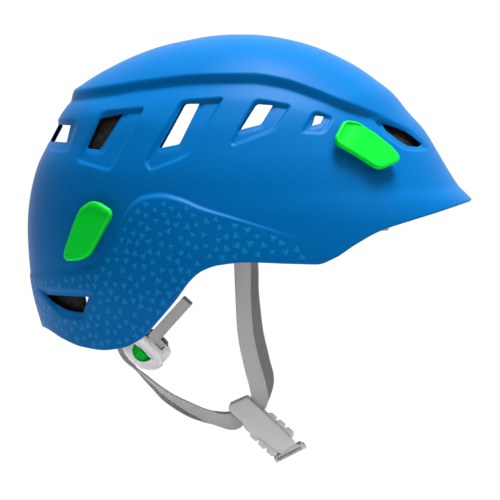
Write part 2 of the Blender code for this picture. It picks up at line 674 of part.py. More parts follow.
def nape_adjuster():
    band("nape_band_right", -1)
    band("nape_band_left", 1)

    def at(x, y, z):
        return NAPE_PLACE @ Matrix.Translation((x, y, z))

    pinion = keep(slab(gear_outline(), *PINION_SPAN, NAPE_PLACE), "adjuster_pinion", GREY, at=NAPE)
    radius, length, middle = PINION_NECK
    boolean(pinion, keep(rod(radius, length, at(0, 0, middle)), "add_neck", None, True), "UNION")
    bore = keep(rod(AXLE_R + FIT, 30, at(0, 0, 0), 12), "cut_axle_bore", None, True)
    boolean(pinion, bore)

    wheel = keep(slab(knurled_outline(WHEEL_R), *WHEEL_SPAN, NAPE_PLACE), "adjuster_wheel",
                 GREEN, at=NAPE)
    boolean(wheel, bore)

    # The cover: a curved plate behind the bands, with a half collar round the wheel.
    cover = keep(arc_block(HOUSING_HALF, COVER_ACROSS, COVER_OUT), "adjuster_cover", GREY)
    collar = rod(COLLAR_R, COLLAR_LONG, at(0, 0, COLLAR_MIDDLE), 40)
    boolean(cover, keep(collar, "add_collar", None, True), "UNION")
    round_wheel, deep, middle = WHEEL_WELL
    well = rod(WHEEL_R + round_wheel, deep, at(0, 0, middle), 40)
    boolean(cover, keep(well, "cut_wheel_well", None, True))
    window = block(WHEEL_WINDOW, at(*WINDOW_MIDDLE))
    boolean(cover, keep(window, "cut_wheel_window", None, True))
    neck_hole = rod(PINION_NECK[0] + 0.4, 12, at(0, 0, -3), 24)
    boolean(cover, keep(neck_hole, "cut_neck_bore", None, True))

    # The cradle: a plate before the bands, walls above and below them, and the arm to the liner.
    cradle = keep(arc_block(HOUSING_HALF, PLATE_ACROSS, PLATE_OUT), "nape_cradle", GREY)
    for label, across in WALLS_ACROSS.items():
        wall = arc_block(HOUSING_HALF - WALLS_SHORT, across, WALLS_OUT)
        boolean(cradle, keep(wall, f"add_{label}_wall", None, True), "UNION")
    pivot = Vector((CRADLE_PIVOT[0], 0, CRADLE_PIVOT[1]))
    foot = NAPE + AHEAD * ARM_FOOT[0] + DOWN * ARM_FOOT[1]
    arm_x = (foot - pivot).normalized()
    arm_z = arm_x.cross(Vector((0, 1, 0)))
    arm_at = axes_at((foot + pivot) / 2, arm_x, Vector((0, 1, 0)), arm_z)
    arm = block(((foot - pivot).length, ARM_WIDE, ARM_THICK), arm_at)
    boolean(cradle, keep(arm, "add_arm", None, True), "UNION")
    turn = axes_at(pivot, Vector((1, 0, 0)), Vector((0, 0, 1)), Vector((0, -1, 0)))
    knuckle = rod(KNUCKLE_R, ARM_WIDE, turn, 20)
    boolean(cradle, keep(knuckle, "add_knuckle", None, True), "UNION")
    knuckle_bore = rod(PIVOT_PIN_R + FIT, 20, turn, 16)
    boolean(cradle, keep(knuckle_bore, "cut_knuckle_bore", None, True))
    axle_bore = rod(AXLE_R + FIT, 9, at(0, 0, 3), 12)
    boolean(cradle, keep(axle_bore, "cut_cradle_axle", None, True))

    keep(rod(PIVOT_PIN_R, PIVOT_PIN_LONG, turn, 16), "cradle_pivot_pin", STEEL)
    bracket_at = Matrix.Translation(pivot + Vector((BRACKET_SHIFT, 0, 0)))
    bracket = keep(block(BRACKET, bracket_at), "cradle_bracket", GREY)
    gap_at = Matrix.Translation(pivot + Vector((GAP_SHIFT, 0, 0)))
    boolean(bracket, keep(block(BRACKET_GAP, gap_at), "cut_bracket_gap", None, True))
    bracket_bore = rod(PIVOT_PIN_R + 0.1, 20, turn, 16)
    boolean(bracket, keep(bracket_bore, "cut_bracket_bore", None, True))
    nape_pad = arc_block(NAPE_PAD_HALF, NAPE_PAD_ACROSS, NAPE_PAD_OUT, 6)
    bevel(keep(nape_pad, "nape_pad", PAD), 1.6, 1)

    keep(rod(AXLE_R, AXLE_LONG, at(0, 0, AXLE_MIDDLE), 12), "adjuster_axle", STEEL)


# ---- Harness ----
def ribbon(name, stations, wide, thick=WEB_THICK, mat=WEB):
    """Flat webbing through stations of (middle, direction of its width)."""
    middles = [Vector(middle) for middle, _ in stations]
    rings = []
    for i, (_, across) in enumerate(stations):
        ahead = middles[min(i + 1, len(middles) - 1)] - middles[max(i - 1, 0)]
        ahead.normalize()
        across = Vector(across)
        across = (across - across.dot(ahead) * ahead).normalized()
        normal = ahead.cross(across)
        rings.append([middles[i] + across * (a * wide / 2) + normal * (b * thick / 2)
                      for a, b in ((-1, -1), (1, -1), (1, 1), (-1, 1))])
    return keep(loft(rings), name, mat)


def curve_through(points, steps):
    """Points along a smooth curve through these, and how far each is along the list."""
    points = [Vector(p) for p in points]
    ends = [2 * points[0] - points[1]] + points + [2 * points[-1] - points[-2]]
    found = []
    for i in range(steps + 1):
        place = i / steps * (len(points) - 1)
        k = min(int(place), len(points) - 2)
        t = place - k
        a, b, c, d = ends[k:k + 4]
        found.append((0.5 * (2 * b + (c - a) * t + (2 * a - 5 * b + 4 * c - d) * t * t
                             + (3 * b - a - 3 * c + d) * t ** 3), place))
    return found


def strap(name, route, widths, pocket, side):
    """Webbing to its pocket, along a route given for the right side and mirrored on the left."""
    place = buckle_place(-1)
    across, along = STRAP_POCKETS[pocket]
    sign = math.copysign(1, across)
    route = [Vector(p) for p in route] + [place @ Vector((sign * POCKET_ENTRY, along, 0)),
                                          place @ Vector((sign * POCKET_END, along, 0))]
    widths = [Vector(w) for w in widths] + [BUCKLE_DOWN, BUCKLE_DOWN]
    stations = []
    for middle, along_list in curve_through(route, 2 * (len(route) - 1)):
        k = min(int(along_list), len(widths) - 2)
        wide = widths[k].lerp(widths[k + 1], along_list - k)
        stations.append(((middle.x, -side * middle.y, middle.z), (wide.x, -side * wide.y, wide.z)))
    return ribbon(name, stations, WEB_WIDE)


BUCKLE_DOWN = Vector((math.cos(BUCKLE_LEAN), 0, -math.sin(BUCKLE_LEAN)))
BUCKLE_ACROSS = Vector((math.sin(BUCKLE_LEAN), 0, math.cos(BUCKLE_LEAN)))


def buckle_place(side):
    """Local X across the buckle, Y along it downwards, Z out from the cheek."""
    top = Vector((BUCKLE_TOP.x, -side * BUCKLE_TOP.y, BUCKLE_TOP.z))
    return axes_at(top, BUCKLE_ACROSS, BUCKLE_DOWN, Vector((0, side, 0)))


def cut_strap_pockets(piece, place, label):
    """The two side pockets that the webbing's ends sit in."""
    for name, (x, y) in STRAP_POCKETS.items():
        pocket_at = place @ Matrix.Translation((x, y, 0))
        pocket = block((8.0, WEB_WIDE + 1.8, WEB_THICK + 1.4), pocket_at)
        boolean(piece, keep(pocket, f"cut_{label}_{name}_pocket", None, True))


def buckle():
    """The buckle on the right cheek: a sleeve open at its sides, and a plug with two arms."""
    place = buckle_place(-1)
    body = keep(slab(SLEEVE, -BUCKLE_THICK / 2, BUCKLE_THICK / 2, place), "buckle_body", GREY)
    bevel(body, 0.7, 2)
    cut_strap_pockets(body, place, "right")
    mouth = place @ Matrix.Translation((0, MOUTH_START + 20, 0))
    boolean(body, keep(block((30, 40, 3.9), mouth), "cut_mouth", None, True))

    half = PLUG_THICK / 2
    plug = keep(slab(PLUG, -half, half, place), "buckle_plug", GREY)
    bevel(plug, 0.4, 1)
    slot_at = place @ Matrix.Translation(END_SLOT) @ Matrix.Rotation(END_TILT, 4, "Z")
    boolean(plug, keep(block((CHIN_WIDE - 1.4, 2.0, 12), slot_at), "cut_end_slot", None, True))
    for label, mirror in (("upper", 1), ("lower", -1)):
        arm = [(mirror * x, y) for x, y in RELEASE_ARM]
        hinge_at = place @ Vector((mirror * ARM_HINGE[0], ARM_HINGE[1], 0))
        lever = keep(slab(arm, -half, half, place), f"release_arm_{label}", GREY, at=hinge_at)
        bevel(lever, 0.35, 1)


def junction():
    """The plate on the left cheek where both left straps meet the chin strap."""
    place = buckle_place(1)
    half = BUCKLE_THICK / 2
    plate = keep(slab(JUNCTION, -half, half, place), "strap_junction_left", GREY)
    bevel(plate, 0.7, 2)
    cut_strap_pockets(plate, place, "left")


FRONT_ROUTE = [(0.5, -71.5, -96), (1.7, -71, -108), (2.1, -69.5, -126.3), (3.6, -66.5, -149.4),
               (7.4, -62.5, -167.5), (10.8, -59, -180)]
FRONT_WIDTHS = [(1, 0.1, 0), (1, 0.25, 0), (1, 0.5, 0), (1, 0.5, 0), (1, 0.35, 0), (1, 0.1, -0.1)]
REAR_ROUTE = [(-63, -47, -142), (-71, -46, -153), (-67.4, -49, -164), (-53.4, -54, -175.8),
              (-42, -56.5, -185.2), (-27, -57.3, -193.8), (-14.5, -57.5, -199)]
REAR_WIDTHS = [(0.2, 1, 0), (0.2, 1, 0), (0.2, 1, 0), (0.1, 1, -0.2), (0.1, 1, -0.45),
               (0, 1, -0.75), (0.2, 0.8, -1)]
# The left straps hang a little further forward and lower than the right ones.
FRONT_LEFT_SHIFT = [(2.6, 0), (3.9, 0), (4.4, 0), (5.4, 0.6), (5.2, 1.6), (4.2, 2.2)]
REAR_LEFT_SHIFT = [(0, 0), (0, 0), (0.6, -1.2), (-0.8, -3.8), (-0.6, -4.8), (-0.2, -3.8), (0.3, -1.2)]


def straps():
    for side_name, side in (("right", -1), ("left", 1)):
        for end, route, widths, shifts in (
                ("front", FRONT_ROUTE, FRONT_WIDTHS, FRONT_LEFT_SHIFT),
                ("rear", REAR_ROUTE, REAR_WIDTHS, REAR_LEFT_SHIFT)):
            if side > 0:
                route = [(x + dx, y, z + dz) for (x, y, z), (dx, dz) in zip(route, shifts)]
            strap(f"{end}_strap_{side_name}", route, widths, end, side)
        for end, (size, (x, y, z)) in ANCHORS.items():
            at = Matrix.Translation((x, side * y, z))
            anchor = keep(block(size, at), f"strap_anchor_{end}_{side_name}", GREY)
            bevel(anchor, 0.3, 1)
    stations = [(middle, CHIN_ACROSS) for middle, _ in curve_through(CHIN_ROUTE, 20)]
    ribbon("chin_strap", stations, CHIN_WIDE)
    across, out = Vector(CHIN_ACROSS), Vector((-CHIN_ACROSS[2], 0, CHIN_ACROSS[0]))
    ring_at = axes_at(Vector(ADJUSTER_MIDDLE), across, Vector((0, 1, 0)), out)
    wide, long, high = ADJUSTER
    ring = keep(block((wide, long, high), ring_at), "chin_adjuster", GREY)
    bevel(ring, 0.8, 2)
    opening = block((CHIN_WIDE + 1.0, 20, WEB_THICK + 1.0), ring_at)
    boolean(ring, keep(opening, "cut_adjuster", None, True))


def main():
    shell_and_liner()
    pads()
    clips()
    nape_adjuster()
    buckle()
    junction()
    straps()


main()
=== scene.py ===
"""The looks of the child's climbing helmet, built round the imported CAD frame."""
import math

import bmesh
import bpy
import numpy as np
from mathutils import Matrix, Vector


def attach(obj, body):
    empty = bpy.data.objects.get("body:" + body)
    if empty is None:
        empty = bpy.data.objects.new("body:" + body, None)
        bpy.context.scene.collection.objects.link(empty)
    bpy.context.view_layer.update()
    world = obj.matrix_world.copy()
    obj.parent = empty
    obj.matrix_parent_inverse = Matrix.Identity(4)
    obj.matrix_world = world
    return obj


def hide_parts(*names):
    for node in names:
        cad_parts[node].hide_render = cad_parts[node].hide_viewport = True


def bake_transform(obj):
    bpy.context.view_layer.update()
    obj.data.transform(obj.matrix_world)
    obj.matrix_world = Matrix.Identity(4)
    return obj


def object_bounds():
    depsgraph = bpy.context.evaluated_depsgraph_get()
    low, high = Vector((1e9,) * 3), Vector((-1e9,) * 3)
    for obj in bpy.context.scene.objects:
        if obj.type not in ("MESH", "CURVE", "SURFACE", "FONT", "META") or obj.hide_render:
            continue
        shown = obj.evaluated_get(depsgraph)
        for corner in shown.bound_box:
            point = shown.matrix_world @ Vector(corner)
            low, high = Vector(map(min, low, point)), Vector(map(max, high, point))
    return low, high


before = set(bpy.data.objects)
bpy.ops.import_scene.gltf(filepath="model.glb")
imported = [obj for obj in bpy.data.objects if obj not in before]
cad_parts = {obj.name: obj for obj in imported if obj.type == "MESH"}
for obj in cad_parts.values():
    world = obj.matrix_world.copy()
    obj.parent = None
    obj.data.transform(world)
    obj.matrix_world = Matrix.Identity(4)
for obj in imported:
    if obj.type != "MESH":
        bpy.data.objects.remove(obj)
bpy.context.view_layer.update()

MM = 0.001
rng = np.random.RandomState(11)

# ---- Driving dimensions (mm), the same as the CAD's ----
CENTRE_Z = -80.0
SHELL_THICK = 2.6
CROWN_RISE = 3.5
CROWN_STEP = 3.8
CROWN_GROOVE = 0.9
RIM_LIP = 0.9
LINER_GAP = 4.9
LINER_MOST = 27.0
LINER_LIFT = 6.0
HEAD_FRONT, HEAD_REAR, HEAD_SIDE, HEAD_TOP = 90.0, 98.0, 74.5, 86.5
FRONT_PROFILE = [(0, 24.4), (23, 22.6), (42, 17.8), (62, 9), (78, 0), (91, -8.5), (99, -17.4),
                 (108.5, -27.8), (118, -43), (128.7, -60.5), (138, -70.6), (145, -84), (148, -110)]
REAR_PROFILE = [(0, 24.4), (-26, 22), (-50, 16.3), (-72, 7), (-90, -3.5), (-104, -15),
                (-112.5, -34), (-120, -49.8), (-125.3, -74), (-125.6, -98), (-122.5, -124),
                (-116.3, -146), (-111, -166)]
SIDE_PROFILE = [(0, 24.4), (25, 21.4), (45, 13.5), (58, 4), (68, -8), (78, -24), (86, -42),
                (92, -62), (95.5, -82), (97, -104), (96.5, -125), (93, -145), (87, -168)]
RIM = [(-130, -143), (-116, -145.8), (-104, -152.6), (-93, -157), (-80, -158.8), (-68, -157),
       (-58, -152), (-49, -142.4), (-39, -130.5), (-30, -118.6), (-22, -112), (-12, -108.6),
       (5, -107), (30, -107.8), (46, -108.2), (56, -104.6), (68, -96.8), (82, -89), (103, -81.8),
       (120, -76.3), (160, -62)]
CROWN_EDGE = [(-110, -9), (-85, -6), (-55, -1.2), (-20, 2.4), (6, 2.7), (24, 0.2), (44, -6.4),
              (60, -12.8), (86, -21.3), (120, -32)]
CROWN_FADE = (62.0, 104.0)

# The ledge over the lower panel: its height along the length, how proud it stands, and how soft.
LEDGE = [(-130, -114), (-102, -113), (-84, -108.5), (-76, -98), (-70, -84), (-64, -74), (-56, -68.6),
         (-46, -67.4), (-36, -69.4), (-22, -75), (-2, -81), (18, -87.2), (34, -92.5), (60, -103)]
LEDGE_PROUD = [(-130, 0.7), (-95, 0.7), (-76, 1.2), (-60, 2.1), (-40, 2.1), (-20, 1.6), (5, 0.9),
               (30, 0.25), (42, 0.0), (60, 0.0)]
LEDGE_SOFT = [(-130, 2.5), (-80, 4.5), (-50, 4.2), (-20, 3.0), (10, 1.8), (60, 1.4)]

# Vents: (outline of the hole, outline of the hollow round it, hollow's depth, |y| it starts at,
# radius of the hole's corners).
VENTS = {
    "rear_corner": ([(-108.5, -24.8), (-99.7, -25.3), (-102.3, -36.8), (-112.6, -36.1)],
                    [(-110, -22), (-95, -23), (-101, -43), (-115, -41)], 1.6, 3, 0.6),
    "rear_top": ([(-82.7, -21.4), (-67.4, -18.2), (-82.1, -41.3), (-91.0, -40.2)],
                 [(-81.8, -17), (-55, -14.4), (-76, -54), (-98, -47.4)], 2.6, 20, 1.5),
    "middle": ([(-33.0, -12.6), (-22.4, -12.4), (-34.9, -37.7), (-48.3, -40.3)],
               [(-35.3, -10.6), (-8, -8.6), (-29.1, -44), (-53.4, -54), (-57, -47.4)], 2.8, 20, 2.0),
    "side": ([(9.5, -12.7), (21.0, -13.5), (13.3, -26.0), (-1.4, -29.7)],
             [(8.9, -9.6), (32, -13.4), (21.3, -29.1), (-3.6, -39), (-6.5, -36.5)], 2.6, 20, 2.0),
    "small": ([(44.1, -19.4), (50.8, -20.2), (48.4, -25.5), (41.4, -27.1)],
              [(44, -16), (57, -20.6), (50.4, -32), (34.6, -31)], 2.0, 20, 1.2),
    "brow": ([(82.4, -23.7), (90.7, -26.1), (97.3, -28.8), (102, -32), (108.5, -37.4), (106, -39.4),
              (99.6, -39.1), (92.8, -34.7), (86, -29.3)],
             [(78, -21.4), (92, -24), (103, -28.6), (114, -40.5), (106, -42.5), (97, -41.5),
              (84, -31.5)], 1.6, 20, 1.2),
    "rear_low": ([(-116.5, -125.4), (-88.2, -126.6), (-92.0, -137.4), (-101.5, -136),
                  (-110.5, -131)],
                 [(-121, -121.5), (-84.5, -123.6), (-90.5, -141.5), (-105, -140)], 1.8, 25, 1.4),
}
THROUGH = ("middle", "side", "small")


# ---- Curves and fields, on arrays ----
def smooth(points):
    """A curve through the points, with no overshoot between them."""
    xs, ys = (np.array(column, float) for column in zip(*points))
    step = np.diff(xs)
    slope = np.diff(ys) / step
    tangent = np.zeros(len(xs))
    for i in range(1, len(xs) - 1):
        if slope[i - 1] * slope[i] > 0:
            near, far = 2 * step[i] + step[i - 1], step[i] + 2 * step[i - 1]
            tangent[i] = (near + far) / (near / slope[i - 1] + far / slope[i])
    tangent[0], tangent[-1] = slope[0], slope[-1]

    def read(x):
        x = np.clip(x, xs[0], xs[-1])
        i = np.clip(np.searchsorted(xs, x, side="right") - 1, 0, len(xs) - 2)
        h, t = step[i], (x - xs[i]) / step[i]
        return ((1 + 2 * t) * (1 - t) ** 2 * ys[i] + t * (1 - t) ** 2 * h * tangent[i]
                + t * t * (3 - 2 * t) * ys[i + 1] + t * t * (t - 1) * h * tangent[i + 1])

    return read


def fade(x, low, high):
    t = np.clip((x - low) / (high - low), 0, 1)
    return t * t * (3 - 2 * t)


def rounded(outline, radius, steps=4):
    """The outline with its corners turned into curves."""
    points = [np.array(p, float) for p in outline]
    made = []
    for i, corner in enumerate(points):
        before, after = points[i - 1] - corner, points[(i + 1) % len(points)] - corner
        near, far = np.linalg.norm(before), np.linalg.norm(after)
        cut = min(radius, 0.45 * near, 0.45 * far)
        start, end = corner + before * cut / near, corner + after * cut / far
        for k in range(steps + 1):
            t = k / steps
            made.append((1 - t) ** 2 * start + 2 * t * (1 - t) * corner + t * t * end)
    return np.array(made)


def distance(outline, x, z):
    """Signed distance from the outline, negative inside it."""
    outline = np.asarray(outline, float)
    best = np.full(np.shape(x), 1e9)
    inside = np.zeros(np.shape(x), bool)
    for (ax, az), (bx, bz) in zip(outline, np.roll(outline, -1, axis=0)):
        ex, ez = bx - ax, bz - az
        t = np.clip(((x - ax) * ex + (z - az) * ez) / (ex * ex + ez * ez), 0, 1)
        best = np.minimum(best, np.hypot(x - ax - t * ex, z - az - t * ez))
        if bz != az:
            crosses = (az > z) != (bz > z)
            inside ^= crosses & (x < ex * (z - az) / (bz - az) + ax)
    return np.where(inside, -best, best)


# ---- The dome ----
def polar(profile):
    return smooth([(math.atan2(abs(out), z - CENTRE_Z), math.hypot(out, z - CENTRE_Z))
                   for out, z in profile])


FRONT, REAR, SIDE = polar(FRONT_PROFILE), polar(REAR_PROFILE), polar(SIDE_PROFILE)
RIM_AT, CROWN_EDGE_AT = smooth(RIM), smooth(CROWN_EDGE)
LEDGE_AT, PROUD_AT, SOFT_AT = smooth(LEDGE), smooth(LEDGE_PROUD), smooth(LEDGE_SOFT)


def directions(around, down):
    return np.stack([np.cos(around) * np.sin(down), np.sin(around) * np.sin(down), np.cos(down)], -1)


def dome_reach(around, down):
    end = np.where(np.cos(around) > 0, FRONT(down), REAR(down))
    return 1 / np.sqrt((np.cos(around) / end) ** 2 + (np.sin(around) / SIDE(down)) ** 2)


def dome(around, down, offset=0.0):
    reach = dome_reach(around, down) + offset
    return directions(around, down) * reach[..., None] + [0, 0, CENTRE_Z]


def head_reach(around, down):
    end = np.where(np.cos(around) > 0, HEAD_FRONT, HEAD_REAR)
    across = np.hypot(np.cos(around) / end, np.sin(around) / HEAD_SIDE) * np.sin(down)
    return 1 / np.hypot(across, np.maximum(np.cos(down), 0) / HEAD_TOP)


def rim_angles(around, lift=0.0):
    """The angle from straight up at which each column of the dome meets the rim."""
    steps = np.linspace(1.0, 2.5, 90)
    points = dome(around[:, None], np.broadcast_to(steps, (len(around), len(steps))))
    below = points[..., 2] < RIM_AT(points[..., 0]) + lift
    high = steps[np.argmax(below, axis=1)]
    low = high - (steps[1] - steps[0])
    for _ in range(22):
        middle = (low + high) / 2
        point = dome(around, middle)
        under = point[:, 2] < RIM_AT(point[:, 0]) + lift
        high = np.where(under, middle, high)
        low = np.where(under, low, middle)
    return high


def relief(points):
    """How far the shell stands out from the plain dome at each point: crown, ledge and hollows."""
    x, y, z = points.T
    t = np.clip((CROWN_EDGE_AT(x) - z) / CROWN_STEP, 0, 1) ** 0.8
    out = CROWN_RISE * (1 - t * t * (3 - 2 * t))
    below = CROWN_EDGE_AT(x) - z
    out -= CROWN_GROOVE * fade(below, 0.5, CROWN_STEP) * (1 - fade(below, CROWN_STEP, 15.0))
    out *= 1 - fade(x, *CROWN_FADE)
    out += PROUD_AT(x) * fade(LEDGE_AT(x) - z, -SOFT_AT(x) / 2, SOFT_AT(x) / 2)
    for hole, hollow, depth, start, _ in VENTS.values():
        gap = distance(rounded(hollow, 4.0), x, z)
        heights = [p[1] for p in hollow]
        slope = np.clip((z - min(heights)) / (max(heights) - min(heights)), 0, 1)
        lip = distance(rounded(hole, 2.0), x, z)
        dent = depth * (0.35 + 0.65 * slope) * fade(-gap, 0, 2.4) + 0.5 * fade(-lip, -2.0, 0.5)
        out -= dent * (np.abs(y) > start - 6)
    return out


# ---- Meshes from arrays ----
def new_object(name, points, faces, mat, smooth_angle=40):
    mesh = bpy.data.meshes.new(name)
    mesh.from_pydata((np.asarray(points) * MM).tolist(), [], faces)
    mesh.validate()
    mesh.update()
    mesh.materials.append(mat)
    mesh.shade_smooth()
    if smooth_angle:
        mesh.set_sharp_from_angle(angle=math.radians(smooth_angle))
    obj = bpy.data.objects.new(name, mesh)
    bpy.context.scene.collection.objects.link(obj)
    return obj


def face_outwards(obj):
    work = bmesh.new()
    work.from_mesh(obj.data)
    bmesh.ops.recalc_face_normals(work, faces=work.faces)
    work.to_mesh(obj.data)
    work.free()


def place_piece(obj, body, slot, *nodes):
    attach(obj, body)
    if nodes:
        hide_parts(*nodes)
    return obj


def grid_triangles(columns, rows):
    """Triangles of a closed ring of columns, plus a fan at the top; the top is point 0."""
    index = 1 + np.arange(columns * rows).reshape(columns, rows)
    beside = np.roll(index, -1, axis=0)
    a, b = index[:, :-1].ravel(), index[:, 1:].ravel()
    c, d = beside[:, 1:].ravel(), beside[:, :-1].ravel()
    fan = np.stack([np.zeros(columns, int), index[:, 0], beside[:, 0]], 1)
    return np.concatenate([fan, np.stack([a, b, c], 1), np.stack([a, c, d], 1)])


def point_normals(points, tris):
    a, b, c = (points[tris[:, k]] for k in range(3))
    cross = np.cross(b - a, c - a)
    total = np.zeros_like(points)
    for k in range(3):
        np.add.at(total, tris[:, k], cross)
    return total / np.maximum(np.linalg.norm(total, axis=1, keepdims=True), 1e-12)


def clip(layers, tris, field):
    """Cuts the triangles where the field is negative. Layers are arrays of points cut alike."""
    signs = field[tris] > 0
    whole = tris[signs.all(1)]
    made, extra, new = {}, [], []

    def between(i, j):
        key = (min(i, j), max(i, j))
        if key not in made:
            t = field[i] / (field[i] - field[j])
            made[key] = len(field) + len(extra)
            extra.append((i, j, t))
        return made[key]

    for tri, sign in zip(tris[signs.any(1) & ~signs.all(1)], signs[signs.any(1) & ~signs.all(1)]):
        while not (sign[0] and not sign[2]):
            tri, sign = np.roll(tri, 1), np.roll(sign, 1)
        a, b, c = (int(v) for v in tri)
        if sign[1]:
            p, q = between(b, c), between(a, c)
            new += [(a, b, p), (a, p, q)]
        else:
            new.append((a, between(a, b), between(a, c)))
    if extra:
        i, j, t = (np.array(column) for column in zip(*extra))
        t = t[:, None]
        layers = [np.concatenate([layer, layer[i] * (1 - t) + layer[j] * t]) for layer in layers]
        whole = np.concatenate([whole, np.array(new)])
    used, index = np.unique(whole, return_inverse=True)
    return [layer[used] for layer in layers], index.reshape(-1, 3)


def close_skin(outer, inner, tris, lip):
    """A closed body between two skins that share triangles, with rounded lips along each edge."""
    count = len(outer)
    normals = point_normals(outer, tris)
    edges = np.concatenate([tris[:, [0, 1]], tris[:, [1, 2]], tris[:, [2, 0]]])
    key = np.sort(edges, axis=1)
    _, first, times = np.unique(key, axis=0, return_index=True, return_counts=True)
    border = edges[first[times == 1]]
    away = np.zeros_like(outer)
    sides = np.cross(outer[border[:, 1]] - outer[border[:, 0]], normals[border[:, 0]])
    np.add.at(away, border[:, 0], sides)
    np.add.at(away, border[:, 1], sides)
    on_border = np.unique(border)
    away = away[on_border]
    away /= np.maximum(np.linalg.norm(away, axis=1, keepdims=True), 1e-9)
    here, there = outer[on_border], inner[on_border]
    deep = there - here
    thick = np.linalg.norm(deep, axis=1, keepdims=True)
    deep = deep / thick
    rings = [here + away * lip * out + deep * lip * down
             for out, down in ((0.5, 0.13), (0.87, 0.5), (1.0, 1.0))]
    rings += [there + away * lip * out - deep * lip * down
              for out, down in ((1.0, 1.0), (0.87, 0.5), (0.5, 0.13))]
    points = np.concatenate([outer, inner] + rings)
    slot_of = np.full(count, -1)
    slot_of[on_border] = np.arange(len(on_border))
    a, b = border[:, 0], border[:, 1]
    chains = [(a, b)]
    for k in range(len(rings)):
        base = 2 * count + k * len(on_border)
        chains.append((base + slot_of[a], base + slot_of[b]))
    chains.append((a + count, b + count))
    faces = tris.tolist() + (tris[:, ::-1] + count).tolist()
    for (p, q), (r, s) in zip(chains, chains[1:]):
        faces += np.stack([p, r, s, q], 1).tolist()
    return points, faces


def apply_modifiers(obj):
    """Bakes the modifiers into the mesh."""
    bpy.context.view_layer.update()
    depsgraph = bpy.context.evaluated_depsgraph_get()
    mesh = bpy.data.meshes.new_from_object(obj.evaluated_get(depsgraph))
    obj.modifiers.clear()
    obj.data = mesh
    return obj


def cut(obj, cutter, operation="DIFFERENCE"):
    tool = obj.modifiers.new("cut", "BOOLEAN")
    tool.operation = operation
    tool.solver = "EXACT"
    tool.object = cutter
    apply_modifiers(obj)
    bpy.data.objects.remove(cutter)
    return obj


def grown(outline, by):
    """The outline moved outwards along its own corners' directions."""
    middle = outline.mean(axis=0)
    away = outline - middle
    return outline + away / np.linalg.norm(away, axis=1, keepdims=True) * by


def bar(name, points, mat):
    """A closed body between two copies of an outline, the near one's points first."""
    count = len(points) // 2
    faces = [tuple(range(count)), tuple(reversed(range(count, 2 * count)))]
    faces += [(k, k + count, (k + 1) % count + count, (k + 1) % count) for k in range(count)]
    obj = new_object(name, points, faces, mat)
    face_outwards(obj)
    return obj


def prism(name, outline, low, high):
    """A bar across the helmet whose outline is seen from the side."""
    return bar(name, [(x, y, z) for y in (low, high) for x, z in outline], FOAM)


def stacked(name, layers, mat, sharp=40):
    """A closed body from rings of equal length, closed at both ends by a fan."""
    count = len(layers[0])
    points = np.concatenate([layers[0].mean(axis=0, keepdims=True)] + list(layers)
                            + [layers[-1].mean(axis=0, keepdims=True)])
    last = len(points) - 1
    faces = []
    for k in range(count):
        m = (k + 1) % count
        faces.append((0, 1 + m, 1 + k))
        faces.append((last, last - count + k, last - count + m))
        for ring in range(len(layers) - 1):
            base = 1 + ring * count
            faces.append((base + k, base + m, base + count + m, base + count + k))
    obj = new_object(name, points, faces, mat, sharp)
    face_outwards(obj)
    return obj


def frame_points(matrix, local):
    """Local points through a 4x4 frame given as (origin, x axis, y axis, z axis)."""
    origin, *axes = (np.array(v, float) for v in matrix)
    return origin + local @ np.array(axes)


def domed(name, outline, rings, matrix, mat, shape=None, sharp=40):
    """A moulded piece in its own plane: rings are (share of the outline, height)."""
    outline = np.asarray(outline, float)
    middle = (outline.min(axis=0) + outline.max(axis=0)) / 2
    layers = []
    for share, height in rings:
        flat = middle + (outline - middle) * share
        up = np.full(len(flat), float(height))
        if shape:
            up = shape(flat, up)
        layers.append(frame_points(matrix, np.column_stack([flat, up])))
    return stacked(name, layers, mat, sharp)


# ---- Materials ----
def material(name, rgb, roughness, **sockets):
    made = bpy.data.materials.new(name)
    made.use_nodes = True
    shader = made.node_tree.nodes["Principled BSDF"]
    shader.inputs["Base Color"].default_value = (*rgb, 1)
    shader.inputs["Roughness"].default_value = roughness
    for socket, value in sockets.items():
        shader.inputs[socket.replace("_", " ")].default_value = value
    return made


def node(mat, kind, links=None, **settings):
    """A node in a material or world. Its inputs are linked or set: {"input": output or value}."""
    made = mat.node_tree.nodes.new(kind)
    for key, value in settings.items():
        setattr(made, key, value)
    for key, value in (links or {}).items():
        if isinstance(value, bpy.types.NodeSocket):
            mat.node_tree.links.new(value, made.inputs[key])
        else:
            made.inputs[key].default_value = value
    return made


def shader_of(mat):
    return mat.node_tree.nodes["Principled BSDF"]


def colour_mix(mat, factor, dark, light):
    ramp = node(mat, "ShaderNodeValToRGB", {"Fac": factor})
    ramp.color_ramp.elements[0].color = (*dark, 1)
    ramp.color_ramp.elements[1].color = (*light, 1)
    mat.node_tree.links.new(ramp.outputs["Color"], shader_of(mat).inputs["Base Color"])
    return ramp


def bump(mat, height, strength, reach_mm):
    made = node(mat, "ShaderNodeBump", {"Height": height, "Strength": strength,
                                        "Distance": reach_mm * MM})
    mat.node_tree.links.new(made.outputs["Normal"], shader_of(mat).inputs["Normal"])
    return made


def object_noise(mat, scale, detail=3.0):
    place = node(mat, "ShaderNodeTexCoord")
    return node(mat, "ShaderNodeTexNoise", {"Vector": place.outputs["Object"], "Scale": scale,
                                            "Detail": detail}).outputs["Fac"]


def vary_roughness(mat, factor, low, high):
    spread = node(mat, "ShaderNodeMapRange", {"Value": factor, "To Min": low, "To Max": high})
    mat.node_tree.links.new(spread.outputs["Result"], shader_of(mat).inputs["Roughness"])


